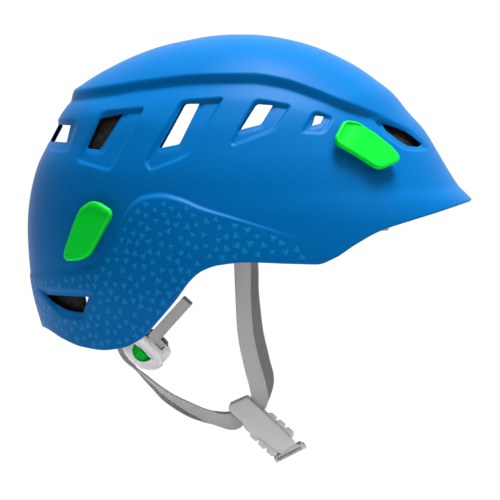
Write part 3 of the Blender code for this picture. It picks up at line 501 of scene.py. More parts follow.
def moulded(name, dark, light, roughness, grain=1900.0, depth=0.02, **sockets):
    """Moulded plastic: slight colour drift, uneven gloss and a fine spark-eroded grain."""
    mat = material(name, light, roughness, **sockets)
    drift = object_noise(mat, 18.0, 2.0)
    colour_mix(mat, drift, dark, light)
    vary_roughness(mat, object_noise(mat, 60.0, 4.0), roughness - 0.05, roughness + 0.06)
    bump(mat, object_noise(mat, grain, 2.0), 0.25, depth)
    return mat


def foam_material():
    """Moulded bead foam: flat polygon beads with fine grooves between them."""
    mat = material("bead_foam", (0.012, 0.010, 0.009), 0.85, Specular_IOR_Level=0.15)
    place = node(mat, "ShaderNodeTexCoord")
    beads = node(mat, "ShaderNodeTexVoronoi", {"Vector": place.outputs["Object"], "Scale": 330.0},
                 feature="DISTANCE_TO_EDGE")
    groove = node(mat, "ShaderNodeMapRange", {"Value": beads.outputs["Distance"],
                                              "From Min": 0.0, "From Max": 0.12})
    cells = node(mat, "ShaderNodeTexVoronoi", {"Vector": place.outputs["Object"], "Scale": 330.0})
    shade = node(mat, "ShaderNodeSeparateColor", {"Color": cells.outputs["Color"]})
    colour_mix(mat, shade.outputs["Red"], (0.003, 0.003, 0.0025), (0.020, 0.016, 0.013))
    bump(mat, groove.outputs["Result"], 0.8, 0.35)
    return mat


# The weave, in mm: half a chevron's width, from rib to rib, and from thread to thread.
CHEVRON, RIB_PITCH, THREAD_PITCH = 3.2, 0.95, 0.62


def maths(mat, operation, *values):
    return node(mat, "ShaderNodeMath", dict(enumerate(values)), operation=operation).outputs[0]


def webbing_material():
    """Flat woven tape: herringbone ribs across the whole width, with no plain selvedge at the edges.
    """
    mat = material("webbing", (0.36, 0.36, 0.37), 0.8, Sheen_Weight=0.35, Sheen_Roughness=0.4)
    place = node(mat, "ShaderNodeUVMap", uv_map="tape")
    split = node(mat, "ShaderNodeSeparateXYZ", {"Vector": place.outputs["UV"]})
    zig = maths(mat, "PINGPONG", split.outputs["X"], CHEVRON)
    lean = maths(mat, "ADD", split.outputs["Y"], zig)
    wave = maths(mat, "SINE", maths(mat, "MULTIPLY", lean, 2 * math.pi / RIB_PITCH))
    thread = maths(mat, "SINE", maths(mat, "MULTIPLY", split.outputs["X"],
                                      2 * math.pi / THREAD_PITCH))
    level = node(mat, "ShaderNodeMapRange", {"Value": maths(mat, "ADD", wave, thread),
                                             "From Min": -2.0, "From Max": 2.0})
    mix = maths(mat, "MULTIPLY", level.outputs["Result"], object_noise(mat, 900.0, 4.0))
    colour_mix(mat, mix, (0.33, 0.33, 0.332), (0.42, 0.42, 0.424))
    bump(mat, level.outputs["Result"], 0.12, 0.03)
    return mat


def knit_material():
    """Brushed knit over the comfort foam: soft loops, a little fuzz."""
    mat = material("pad_knit", (0.05, 0.05, 0.055), 0.95, Sheen_Weight=0.6, Sheen_Roughness=0.5)
    place = node(mat, "ShaderNodeTexCoord")
    loops = node(mat, "ShaderNodeTexVoronoi", {"Vector": place.outputs["Object"], "Scale": 900.0})
    both = maths(mat, "MULTIPLY", loops.outputs["Distance"], object_noise(mat, 260.0, 6.0))
    colour_mix(mat, both, (0.022, 0.022, 0.025), (0.085, 0.085, 0.095))
    bump(mat, both, 0.7, 0.3)
    return mat


def steel_material():
    mat = material("pin_steel", (0.6, 0.6, 0.62), 0.28, Metallic=1.0)
    grain = object_noise(mat, 700.0, 3.0)
    colour_mix(mat, grain, (0.5, 0.5, 0.52), (0.68, 0.68, 0.7))
    vary_roughness(mat, grain, 0.2, 0.38)
    return mat


BLUE = moulded("shell_blue", (0.0, 0.094, 0.292), (0.0, 0.102, 0.312), 0.38, 1500.0, 0.02,
               Specular_IOR_Level=0.035)
PRINT = moulded("print_teal", (0.0, 0.145, 0.365), (0.0, 0.17, 0.40), 0.5, 1500.0, 0.01,
                Specular_IOR_Level=0.06)
FOAM = foam_material()
GREEN = moulded("clip_green", (0.0, 0.50, 0.022), (0.0, 0.58, 0.030), 0.36, 1500.0, 0.02,
                Specular_IOR_Level=0.10)
GREY = moulded("buckle_grey", (0.48, 0.482, 0.485), (0.58, 0.582, 0.585), 0.40, 1700.0, 0.03)
BAND = moulded("band_grey", (0.33, 0.325, 0.32), (0.41, 0.405, 0.40), 0.45, 1700.0, 0.03)
# The nape unit's grey: the buckle's grey plastic made lighter, as painted light to make up for the
# shell's shade over the housing, arm and knuckle.
PAINTED_LIGHT_GREY = moulded("housing_grey", (0.72, 0.715, 0.725), (0.80, 0.795, 0.805), 0.45, 1700.0, 0.03)
WEB = webbing_material()
KNIT = knit_material()
STEEL = steel_material()


# ---- Shell and liner ----
def shell_surface(columns, rows):
    around = np.arange(columns) * 2 * math.pi / columns
    rim = rim_angles(around, RIM_LIP)
    share = np.arange(1, rows + 1) / rows
    down = rim[:, None] * share[None, :]
    points = dome(np.broadcast_to(around[:, None], down.shape), down).reshape(-1, 3)
    points = np.concatenate([[[0, 0, CENTRE_Z + float(FRONT(0.0))]], points])
    return points, grid_triangles(columns, rows)


def hole_field(points, names):
    """Negative inside the named vents."""
    x, y, z = points.T
    field = np.full(len(points), 50.0)
    for name in names:
        hole, _, _, start, corner = VENTS[name]
        gap = distance(rounded(hole, corner), x, z)
        field = np.where(np.abs(y) > start, np.minimum(field, gap), field)
    return field


def make_shell():
    plain, tris = shell_surface(760, 250)
    normals = point_normals(plain, tris)
    outer = plain + normals * relief(plain)[:, None]
    (outer, plain, normals), tris = clip([outer, plain, normals], tris, hole_field(outer, VENTS))
    level = np.abs(normals[:, 1:2])
    across = np.sign(normals[:, 1:2]) * [0, 1, 0] / np.maximum(level, 0.4)
    near_hole = (1 - fade(hole_field(outer, VENTS), 1.5, 5.0))[:, None]
    inner = outer - SHELL_THICK * (normals * (1 - near_hole) + across * near_hole)
    points, faces = close_skin(outer, inner, tris, 0.75)
    shell = new_object("shell_skin", points, faces, BLUE, 60)
    place_piece(shell, "helmet", "shell_plastic", "outer_shell")
    return outer, tris


def liner_surface(columns=300, rows=90):
    around = np.arange(columns) * 2 * math.pi / columns
    rim = rim_angles(around, LINER_LIFT)
    down = rim[:, None] * (np.arange(1, rows + 1) / rows)[None, :]
    wide = np.broadcast_to(around[:, None], down.shape)
    head = head_reach(wide, down)
    outer = np.minimum(dome_reach(wide, down) - LINER_GAP, head + LINER_MOST)
    skins = []
    for reach, top in ((outer, float(FRONT(0.0)) - LINER_GAP), (head, HEAD_TOP)):
        points = directions(wide, down) * reach[..., None] + [0, 0, CENTRE_Z]
        skins.append(np.concatenate([[[0, 0, CENTRE_Z + top]], points.reshape(-1, 3)]))
    return skins, grid_triangles(columns, rows)


def make_liner():
    """Black bead foam with channels inside, cut straight across by some of the vents."""
    (outer, inner), tris = liner_surface()
    x, y, z = inner.T
    rib = np.cos(np.arctan2(y, x) * 7) ** 8
    channel = 1.6 * rib * fade(-z, 12, 34) * (1 - fade(-z, 86, 104))
    inner = inner + point_normals(inner, tris) * channel[:, None]
    points, faces = close_skin(outer, inner, tris, 1.2)
    liner = new_object("liner_foam", points, faces, FOAM, 50)
    cuts = [(VENTS[name][0], low, high) for name in THROUGH for low, high in ((20, 130), (-130, -20))]
    cuts.append((VENTS["rear_corner"][0], -130, 130))
    cuts += [(((-91.5, -125.5), (-87.6, -125.5), (-90.4, -133.5)), low, high)
             for low, high in ((25, 110), (-110, -25))]
    for number, (outline, low, high) in enumerate(cuts):
        cutter = prism(f"cut_{number}", grown(rounded(outline, 1.0), 2.2), low, high)
        cut(liner, cutter)
    place_piece(liner, "helmet", "liner_foam", "foam_liner")


PRINT_SPACING = 5.2
PRINT_SIZE = (2.15, 2.8)


def make_print(outer, tris):
    """Small printed triangles scattered over the lower panel, as thin raised prisms."""
    normals = point_normals(outer, tris)
    middles = outer[tris].mean(axis=1)
    facing = normals[tris].mean(axis=1)
    x, y, z = middles.T
    panel = LEDGE_AT(x) - 3.5 - z
    front = 40.0 - 0.45 * (z + 108)
    field = np.minimum(panel, (front - x) * 0.6)
    field = np.minimum(field, z - RIM_AT(x) - 3.0)
    _, hollow, *_ = VENTS["rear_low"]
    field = np.minimum(field, distance(rounded(hollow, 4.0), x, z) - 1.0)
    chance = rng.uniform(0, 1, len(middles))
    thin = np.clip((x - 5) / 45, 0, 0.75)
    chosen = np.flatnonzero((field > 0.6) & (np.abs(y) > 8) & (chance > thin * 0.5))
    rng.shuffle(chosen)
    cells, kept = {}, []
    for i in chosen:
        cell = tuple((middles[i] // PRINT_SPACING).astype(int))
        near = [cells.get((cell[0] + a, cell[1] + b, cell[2] + c), [])
                for a in (-1, 0, 1) for b in (-1, 0, 1) for c in (-1, 0, 1)]
        if all(np.sum((middles[j] - middles[i]) ** 2) > PRINT_SPACING ** 2
               for group in near for j in group):
            cells.setdefault(cell, []).append(i)
            kept.append(i)
    points, faces = [], []
    for i in kept:
        up = facing[i] / np.linalg.norm(facing[i])
        along = np.cross(up, [0.0, 0.0, 1.0])
        along /= np.linalg.norm(along)
        over = np.cross(up, along)
        turn, size = rng.uniform(0, 2 * math.pi), rng.uniform(*PRINT_SIZE)
        base = len(points)
        for lift, shrink in ((-0.25, 1.0), (0.09, 1.0), (0.13, 0.93)):
            for k in range(3):
                angle = turn + k * 2 * math.pi / 3
                flat = math.cos(angle) * along + math.sin(angle) * over
                points.append(middles[i] + flat * size * shrink + up * lift)
        for ring in (0, 3):
            for k in range(3):
                m = (k + 1) % 3
                faces.append((base + ring + k, base + ring + m, base + ring + 3 + m,
                              base + ring + 3 + k))
        faces.append((base + 6, base + 7, base + 8))
        faces.append((base + 2, base + 1, base))
    place_piece(new_object("panel_print", points, faces, PRINT, 30), "helmet", "shell_plastic")


# ---- Comfort pads ----
def ripple(u, v, phase):
    """Small uneven swells of filled fabric."""
    return (0.16 * np.sin(5.1 * u + 3.7 * v + phase) + 0.12 * np.sin(9.3 * v - 6.1 * u + 2 * phase)
            + 0.07 * np.sin(17 * u + 13 * v + 3 * phase))


PAD_RINGS = [(0.05, 0.04), (0.5, 0.03), (0.85, 0.05), (0.95, 0.10), (0.99, 0.22), (1.0, 0.34),
             (0.995, 0.42), (0.965, 0.47), (0.945, 0.46), (0.925, 0.52), (0.90, 0.62),
             (0.86, 0.72), (0.80, 0.81), (0.72, 0.88), (0.62, 0.93), (0.5, 0.965), (0.38, 0.985),
             (0.26, 0.995), (0.14, 1.0), (0.05, 1.0)]


def cushion(name, node_name, body, mapping, thick, square, seams, phase):
    """A filled pad: a stitched edge, a swelling face, and pressed seams across it."""
    turns = np.linspace(0, 2 * math.pi, 128, endpoint=False)
    c, s = np.cos(turns), np.sin(turns)
    edge_u = np.sign(c) * np.abs(c) ** square
    edge_v = np.sign(s) * np.abs(s) ** square
    layers = []
    for share, height in PAD_RINGS:
        u, v = edge_u * share, edge_v * share
        depth = thick * height
        if height > 0.5:
            press = sum(np.exp(-((u - seam) / 0.035) ** 2) for seam in seams) if seams else 0.0
            depth = depth - 0.30 * thick * np.minimum(press, 1) * (height - 0.45)
            depth = depth + ripple(u, v, phase) * (height - 0.45)
        layers.append(mapping(u, v, depth))
    pad = stacked(name, layers, KNIT, None)
    return place_piece(pad, body, "pad_fabric", node_name)


PAD_GAP, PAD_THICK = 1.3, 5.2


def on_head(middle, half_around, half_down):
    def mapping(u, v, depth):
        around, down = middle[0] + half_around * u, middle[1] + half_down * v
        reach = head_reach(around, down) - PAD_GAP - depth
        return directions(around, down) * reach[:, None] + [0, 0, CENTRE_Z]
    return mapping


def on_crown(u, v, depth):
    around, down = np.arctan2(v, u), math.radians(19.6) * np.hypot(u, v)
    reach = head_reach(around, down) - PAD_GAP - depth
    return directions(around, down) * reach[:, None] + [0, 0, CENTRE_Z]


def make_pads():
    cushion("crown_cushion", "crown_pad", "helmet", on_crown, PAD_THICK, 1.0, (), 0.4)
    flat = math.radians(86)
    for name, middle, wide, tall, seams, phase in (
            ("brow", (0.0, flat), 37.6, 9.6, (-0.5, 0.0, 0.5), 1.3),
            ("rear", (math.pi, math.radians(84)), 27.6, 8.6, (-0.35, 0.35), 2.1),
            ("temple_right", (math.radians(-72), flat), 16.6, 8.6, (0.0,), 0.9),
            ("temple_left", (math.radians(72), flat), 16.6, 8.6, (0.0,), 2.8)):
        node_name = name.replace("temple", "temple_pad") if "temple" in name else name + "_pad"
        mapping = on_head(middle, math.radians(wide), math.radians(tall))
        cushion(name + "_cushion", node_name, "helmet", mapping, PAD_THICK, 0.5, seams, phase)


# ---- Headlamp clips ----
CLIP_FRONT = [(59.2, -25.1), (66.6, -25.7), (78.4, -33.4), (87.9, -41.1), (92.1, -45.9),
              (92.1, -49.4), (82.3, -53.6), (78.4, -53), (66.6, -45.3), (55.3, -38.8),
              (54.1, -35.2)]
CLIP_REAR = [(-85, -70.8), (-80.2, -71.4), (-73.7, -75.5), (-72.7, -79.1), (-84.1, -99.8),
             (-86.7, -103.4), (-91.5, -105.8), (-99.2, -106.3), (-101, -104), (-100.1, -99.2),
             (-94.4, -82.6), (-90.9, -74.9)]
CLIPS = {"front": (CLIP_FRONT, (72.7, -39.1), (84.4, -48.2)),
         "rear": (CLIP_REAR, (-87.1, -89.7), (-81.6, -77.2))}
CLIP_RINGS = [(0.3, 2.3), (0.93, 2.3), (0.965, 2.45), (0.985, 2.8), (0.995, 3.4), (1.0, 4.3),
              (0.995, 5.0), (0.985, 5.5), (0.965, 5.9), (0.94, 6.1), (0.91, 6.2), (0.88, 6.2),
              (0.86, 6.18), (0.84, 6.16), (0.82, 6.14), (0.80, 6.12), (0.78, 6.1), (0.76, 6.09),
              (0.74, 6.08), (0.71, 6.07), (0.68, 6.06), (0.64, 6.05), (0.6, 6.04), (0.55, 6.03),
              (0.5, 6.02), (0.4, 6.01), (0.3, 6.0), (0.12, 6.0)]


def side_y(x, z):
    """How far out the plain dome lies at a place seen from the side."""
    low, high = 0.0, 130.0
    for _ in range(40):
        y = (low + high) / 2
        around, down = math.atan2(y, x), math.atan2(math.hypot(x, y), z - CENTRE_Z)
        reach = float(dome_reach(np.array([around]), np.array([down]))[0])
        if math.sqrt(x * x + y * y + (z - CENTRE_Z) ** 2) < reach:
            low = y
        else:
            high = y
    return (low + high) / 2


def outward(x, z, side):
    here = np.array((x, side_y(x, z), z))
    along = np.array((x + 1, side_y(x + 1, z), z)) - here
    up = np.array((x, side_y(x, z + 1), z + 1)) - here
    normal = np.cross(up, along)
    normal /= np.linalg.norm(normal)
    if normal[1] < 0:
        normal = -normal
    return here * (1, side, 1), normal * (1, side, 1)


def evenly(outline, count):
    """The closed outline as evenly spaced points."""
    closed = np.vstack([outline, outline[:1]])
    run = np.concatenate([[0], np.cumsum(np.linalg.norm(np.diff(closed, axis=0), axis=1))])
    at = np.linspace(0, run[-1], count, endpoint=False)
    return np.column_stack([np.interp(at, run, closed[:, k]) for k in range(2)])


def make_clips():
    for end, (outline, middle, hinge) in CLIPS.items():
        for side_name, side in (("right", -1), ("left", 1)):
            here, normal = outward(*middle, side)
            lean = np.array((hinge[0] - middle[0], 0, hinge[1] - middle[1]))
            towards = lean - lean @ normal * normal
            towards /= np.linalg.norm(towards)
            axis = np.cross(normal, towards)
            flat = []
            for x, z in outline:
                lift = (normal[0] * (x - here[0]) + normal[2] * (z - here[2])) / normal[1]
                offset = np.array((x, here[1] - lift, z)) - here
                flat.append((offset @ towards, offset @ axis))
            flat = evenly(rounded(flat, 3.2, 6), 160)

            def thumb(local, up):
                edge = -distance(flat, local[:, 0], local[:, 1])
                along = local[:, 0] - flat[:, 0].min()
                if end == "rear":
                    along = flat[:, 0].max() - local[:, 0]
                return up - 0.9 * fade(edge, 1.3, 2.3) * (1 - fade(along, 4.0, 13.0)) * (up > 5.9)

            lever = domed(f"lever_{end}_{side_name}", flat, CLIP_RINGS,
                          (here, towards, axis, normal), GREEN, thumb, 50)
            place_piece(lever, f"clip_{end}_{side_name}_lever", "clip_plastic",
                        f"clip_{end}_{side_name}")


# ---- Webbing ----
WEB_THICK, WEB_WIDE, CHIN_WIDE = 1.4, 10.0, 17.0
BUCKLE_TOP = np.array((0.5, -57.5, -191.7))
BUCKLE_LEAN = math.radians(42)
BUCKLE_THICK = 6.6
BUCKLE_DOWN = np.array((math.cos(BUCKLE_LEAN), 0, -math.sin(BUCKLE_LEAN)))
BUCKLE_ACROSS = np.array((math.sin(BUCKLE_LEAN), 0, math.cos(BUCKLE_LEAN)))
STRAP_POCKETS = {"front": (6.5, 6.6), "rear": (-6.5, 3.2)}
FRONT_ROUTE = [(0.5, -71.5, -96), (1.7, -71, -108), (2.1, -69.5, -126.3), (3.6, -66.5, -149.4),
               (7.4, -62.5, -167.5), (10.8, -59, -180)]
FRONT_WIDTHS = [(1, 0.1, 0), (1, 0.25, 0), (1, 0.5, 0), (1, 0.5, 0), (1, 0.35, 0), (1, 0.1, -0.1)]
REAR_ROUTE = [(-63, -47, -142), (-71, -46, -153), (-67.4, -49, -164), (-53.4, -54, -175.8),
              (-42, -56.5, -185.2), (-27, -57.3, -193.8), (-14.5, -57.5, -199)]
REAR_WIDTHS = [(0.2, 1, 0), (0.2, 1, 0), (0.2, 1, 0), (0.1, 1, -0.2), (0.1, 1, -0.45),
               (0, 1, -0.75), (0.2, 0.8, -1)]
# The left straps hang a little further forward and lower than the right ones.
FRONT_LEFT_SHIFT = [(2.6, 0), (3.9, 0), (4.4, 0), (5.4, 0.6), (5.2, 1.6), (4.2, 2.2)]
REAR_LEFT_SHIFT = [(0, 0), (0, 0), (0.6, -1.2), (-0.8, -3.8), (-0.6, -4.8), (-0.2, -3.8), (0.3, -1.2)]
CHIN_ROUTE = [(29.4, -54.2, -219.6), (29.5, -49.5, -219.9), (29.6, -40, -220.2), (29.6, -14, -220.2),
              (29.6, 14, -220.2), (29.6, 40, -220.2), (29.3, 48, -219.6), (28.4, 52.8, -218)]


def buckle_frame(side):
    """Origin, then local X across the buckle, Y along it downwards, Z out from the cheek."""
    return (BUCKLE_TOP * (1, -side, 1), BUCKLE_ACROSS, BUCKLE_DOWN, np.array((0, side, 0.0)))


def curve_through(points, steps):
    points = np.array(points, float)
    ends = np.vstack([2 * points[0] - points[1], points, 2 * points[-1] - points[-2]])
    place = np.linspace(0, len(points) - 1, steps + 1)
    k = np.minimum(place.astype(int), len(points) - 2)
    t = (place - k)[:, None]
    a, b, c, d = ends[k], ends[k + 1], ends[k + 2], ends[k + 3]
    return 0.5 * (2 * b + (c - a) * t + (2 * a - 5 * b + 4 * c - d) * t * t
                  + (3 * b - a - 3 * c + d) * t ** 3), place


def tape(name, middles, across, wide, mat):
    """Woven tape with thick rounded edges, and a map of its width and length in millimetres."""
    ahead = np.gradient(middles, axis=0)
    ahead /= np.linalg.norm(ahead, axis=1, keepdims=True)
    across = across - np.sum(across * ahead, axis=1, keepdims=True) * ahead
    across /= np.linalg.norm(across, axis=1, keepdims=True)
    normal = np.cross(ahead, across)
    half, thin = wide / 2, WEB_THICK / 2
    side = [(1.0, 0.35), (0.97, 0.8), (0.92, 0.97), (0.86, 1.0), (0.80, 0.90), (0.6, 0.88),
            (0.3, 0.88), (0.0, 0.88)]
    upper = [(a, b) for a, b in reversed(side)] + [(a, -b) for a, b in side]
    section = np.array(upper + [(-a, -b) for a, b in reversed(side[:-1])]
                       + [(-a, b) for a, b in side[:-1]])
    layers = [middle + np.outer(section[:, 0] * half, w) + np.outer(section[:, 1] * thin, n)
              for middle, w, n in zip(middles, across, normal)]
    obj = stacked(name, layers, mat, 60)
    run = np.concatenate([[0], np.cumsum(np.linalg.norm(np.diff(middles, axis=0), axis=1))])
    at = [(0.0, 0.0)] + [(a * half, r) for r in run for a, _ in section] + [(0.0, run[-1])]
    layer = obj.data.uv_layers.new(name="tape")
    for loop in obj.data.loops:
        layer.data[loop.index].uv = at[loop.vertex_index]
    return obj


def strap_tape(name, route, widths, pocket, side):
    frame_at = buckle_frame(-1)
    across, along = STRAP_POCKETS[pocket]
    sign = math.copysign(1, across)
    ends = frame_points(frame_at, np.array([(sign * 9.4, along, 0), (sign * 3.6, along, 0)]))
    route = np.vstack([route, ends])
    widths = np.vstack([widths, BUCKLE_DOWN, BUCKLE_DOWN])
    middles, place = curve_through(route, 9 * (len(route) - 1))
    k = np.minimum(place.astype(int), len(widths) - 2)
    t = (place - k)[:, None]
    t = t * t * (3 - 2 * t)
    wide = widths[k] * (1 - t) + widths[k + 1] * t
    flip = np.array((1, -side, 1))
    return tape(name, middles * flip, wide * flip, WEB_WIDE, WEB)


def make_straps():
    for side_name, side in (("right", -1), ("left", 1)):
        for pocket, route, widths, shifts in (
                ("front", FRONT_ROUTE, FRONT_WIDTHS, FRONT_LEFT_SHIFT),
                ("rear", REAR_ROUTE, REAR_WIDTHS, REAR_LEFT_SHIFT)):
            if side > 0:
                route = [(x + dx, y, z + dz) for (x, y, z), (dx, dz) in zip(route, shifts)]
            piece = strap_tape(f"{pocket}_tape_{side_name}", route, widths, pocket, side)
            place_piece(piece, "helmet", "webbing", f"{pocket}_strap_{side_name}")
    middles, _ = curve_through(CHIN_ROUTE, 90)
    wide = np.broadcast_to(np.array((0.894, 0, 0.447)), middles.shape)
    chin = tape("chin_tape", middles, wide, CHIN_WIDE, WEB)
    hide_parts("chin_strap")
    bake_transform(chin)


# ---- Nape adjuster ----
NAPE = np.array((-54.6, 0.0, -156.0))
NAPE_LEAN = math.radians(48)
AHEAD = np.array((math.cos(NAPE_LEAN), 0, math.sin(NAPE_LEAN)))
DOWN = np.array((math.sin(NAPE_LEAN), 0, -math.cos(NAPE_LEAN)))
BAND_R = 62.0
ARC_MIDDLE = NAPE + AHEAD * BAND_R
NAPE_FRAME = (NAPE, np.array((0.0, -1, 0)), DOWN, AHEAD)
CRADLE_PIVOT = np.array((-91.1, 0, -121.0))


def on_arc(along, across, out):
    """Points beside the bands' arc: along it to the left, across it, and out behind it."""
    turn, reach = np.asarray(along) / BAND_R, BAND_R + np.asarray(out)
    return (ARC_MIDDLE - np.outer(reach * np.cos(turn), AHEAD)
            + np.outer(reach * np.sin(turn), (0, 1, 0)) + np.outer(across, DOWN))


def oval(half_u, half_v, square, count=120):
    turns = np.linspace(0, 2 * math.pi, count, endpoint=False)
    c, s = np.cos(turns), np.sin(turns)
    return np.column_stack([half_u * np.sign(c) * np.abs(c) ** square,
                            half_v * np.sign(s) * np.abs(s) ** square])


def arc_pad(name, half_along, middle, half_across, rings, square, mat, sharp=50):
    layers = []
    for share, out in rings:
        flat = oval(half_along, half_across, square)
        edge = 1 - (1 - share) * half_across / half_along
        layers.append(on_arc(flat[:, 0] * edge, middle + flat[:, 1] * share,
                             np.full(len(flat), out)))
    return stacked(name, layers, mat, sharp)


def cylinder(name, radius, low, high, matrix, mat, count=64, round_edge=0.0):
    circle = oval(radius, radius, 1.0, count)
    rings = [(0.3, low), ((radius - round_edge) / radius, low)]
    if round_edge:
        rings += [((radius - 0.3 * round_edge) / radius, low + 0.3 * round_edge)]
        rings += [(1.0, low + round_edge), (1.0, high - round_edge)]
        rings += [((radius - 0.3 * round_edge) / radius, high - 0.3 * round_edge)]
    rings += [((radius - round_edge) / radius, high), (0.3, high)]
    return domed(name, circle, rings, matrix, mat, None, 45)


def resharpen(obj, angle=40):
    obj.data.shade_smooth()
    obj.data.set_sharp_from_angle(angle=math.radians(angle))


WHEEL_R = 10.0
# The half-moon windows that show the wheel, in the plane seen from the side: (ahead, down).
SIDE_FRAME = (NAPE, AHEAD, DOWN, np.array((0.0, 1, 0)))
WINDOW = [(-4.4 - 6.5 * math.sin(math.radians(k)), 0.4 - 6.6 * math.cos(math.radians(k)))
          for k in range(0, 181, 12)]
# Rings of the knob from its back: (height along AHEAD, middle along DOWN, half widths).
KNOB_RINGS = [(-14.1, -2.0, 3.0, 3.0), (-14.0, -2.0, 5.2, 5.2), (-13.6, -1.8, 7.2, 7.0),
              (-12.9, -1.5, 9.2, 8.6), (-12.0, -1.1, 10.4, 9.9), (-10.8, -0.5, 11.1, 11.2),
              (-9.2, 0.1, 11.4, 12.3), (-7.0, 0.8, 11.5, 13.2), (-5.0, 1.2, 11.5, 13.6),
              (-3.8, 1.4, 11.6, 13.5), (-3.0, 1.5, 12.2, 13.2), (-2.6, 1.5, 12.8, 12.8)]


def make_nape():
    knob = stacked("knob_housing", [
        frame_points(NAPE_FRAME, np.column_stack([oval(a, b, 0.8) + (0, middle),
                                                  np.full(120, z)]))
        for z, middle, a, b in KNOB_RINGS], PAINTED_LIGHT_GREY, 50)
    wings = arc_pad("wing_housing", 24.0, 1.6, 12.6,
                    [(0.3, -3.6), (0.93, -3.6), (0.98, -3.1), (1.0, -2.2), (1.0, 2.4), (0.98, 3.5),
                     (0.94, 4.2), (0.88, 4.6), (0.5, 4.9), (0.1, 4.9)], 0.45, PAINTED_LIGHT_GREY)
    cut(knob, wings, "UNION")
    slot_rings = [(0.3, -1.45), (1.0, -1.45), (1.0, 1.45), (0.3, 1.45)]
    cut(knob, arc_pad("slot_cut", 34.0, 0.0, 8.2, slot_rings, 0.15, PAINTED_LIGHT_GREY))
    cut(knob, cylinder("well_cut", WHEEL_R + 0.4, -11.4, -4.5, NAPE_FRAME, PAINTED_LIGHT_GREY, 96, 1.2))
    cut(knob, cylinder("neck_cut", 3.7, -6.0, 0.0, NAPE_FRAME, PAINTED_LIGHT_GREY, 32))
    for side in (-1, 1):
        cut(knob, slab_piece(f"window_cut_{side}", WINDOW, 7.0 * side, 16.0 * side, SIDE_FRAME,
                             PAINTED_LIGHT_GREY, 0.01, 1))
    resharpen(knob)
    knob.name = "nape_housing"
    place_piece(knob, "nape_unit", "grey_plastic", "adjuster_cover", "nape_cradle")

    foot = NAPE + AHEAD * 2.8 - DOWN * 7.5
    arm_x = (foot - CRADLE_PIVOT) / np.linalg.norm(foot - CRADLE_PIVOT)
    arm_z = np.cross(arm_x, (0, 1, 0))
    length = float(np.linalg.norm(foot - CRADLE_PIVOT))
    rings = [(0.6, -1.2), (0.97, -1.2), (1.0, -0.7), (1.0, 0.7), (0.97, 1.2), (0.6, 1.2)]
    arm = domed("nape_arm", oval(length / 2 + 0.5, 6.0, 0.3), rings,
                ((foot + CRADLE_PIVOT) / 2, arm_x, np.array((0.0, 1, 0)), arm_z), PAINTED_LIGHT_GREY)
    place_piece(arm, "nape_unit", "grey_plastic")
    hinge = (CRADLE_PIVOT, np.array((1.0, 0, 0)), np.array((0, 0, 1.0)), np.array((0, -1.0, 0)))
    knuckle = cylinder("nape_knuckle", 3.2, -6.0, 6.0, hinge, PAINTED_LIGHT_GREY, 48, 0.5)
    cut(knuckle, cylinder("pin_cut", 1.62, -9, 9, hinge, PAINTED_LIGHT_GREY, 32))
    place_piece(knuckle, "nape_unit", "grey_plastic")

    turns = np.linspace(0, 2 * math.pi, 240, endpoint=False)
    grip = 0.32 * (0.5 + 0.5 * np.cos(24 * turns)) ** 0.6
    layers = []
    for inset, z in ((6.0, -11.0), (1.4, -11.0), (0.5, -10.8), (0.1, -10.3), (0, -9.6), (0, -6.2),
                     (0.1, -5.5), (0.6, -5.0), (1.6, -4.9), (6.0, -4.9)):
        reach = WHEEL_R - inset - (grip if inset < 1 else 0)
        layers.append(frame_points(NAPE_FRAME, np.column_stack(
            [reach * np.cos(turns), reach * np.sin(turns), np.full(240, z)])))
    place_piece(stacked("knurled_wheel", layers, GREEN, 35), "wheel_unit", "wheel_plastic",
                "adjuster_wheel")

    def nape_map(u, v, depth):
        return on_arc(17.2 * u, 2.25 + 8.0 * v, -4.0 - depth)

    cushion("nape_cushion", "nape_pad", "nape_unit", nape_map, 5.2, 0.5, (0.0,), 0.2)


# ---- Buckle ----
def slab_piece(name, outline, low, high, matrix, mat, width, segments=3):
    """A flat outline thickened between two heights, with rounded edges."""
    local = [(u, v, h) for h in (low, high) for u, v in outline]
    obj = bar(name, frame_points(matrix, np.array(local, float)), mat)
    soften = obj.modifiers.new("soften", "BEVEL")
    soften.width = width * MM
    soften.segments = segments
    soften.limit_method = "ANGLE"
    soften.angle_limit = math.radians(28)
    apply_modifiers(obj)
    resharpen(obj, 50)
    return obj


SLEEVE = [(-6.4, -3.8), (-4.0, -5.6), (6.6, -0.8), (6.7, 10.5), (6.6, 24), (6.0, 38.6), (-5.2, 36.6),
          (-6.2, 24), (-6.5, 19), (-8.2, 15.6), (-8.2, 11.0), (-6.6, 7.2)]
JUNCTION = [(-6.4, -3.8), (-4.0, -5.6), (6.6, -0.8), (6.7, 12), (6.5, 24), (5.4, 35), (-5.0, 31.5),
            (-6.0, 24), (-6.4, 15), (-6.4, 7)]
PLUG = [(-1.4, 15), (1.4, 15), (1.5, 33), (5.4, 36.4), (5.6, 40.6), (8.2, 41.9), (7.3, 45.2),
        (-10.4, 38.4), (-9.5, 35.3), (-5.2, 36.7), (-4.6, 35.2), (-1.5, 33)]
RELEASE_ARM = [(5.0, 34.8), (3.9, 33.6), (3.7, 15.4), (6.2, 14.8), (9.0, 15.6), (9.7, 17.2),
               (9.6, 20.6), (8.0, 21.4), (8.0, 22.0), (9.8, 22.8), (10.0, 27.0), (8.3, 27.9),
               (8.3, 28.5), (9.8, 29.3), (9.9, 33.4), (8.2, 35.2)]


def box_cut(obj, size, middle, matrix):
    u, v, h = (part / 2 for part in size)
    outline = [(middle[0] + a * u, middle[1] + b * v)
               for a, b in ((-1, -1), (1, -1), (1, 1), (-1, 1))]
    tool = slab_piece("box_cut", outline, middle[2] - h, middle[2] + h, matrix, GREY, 0.01, 1)
    return cut(obj, tool)


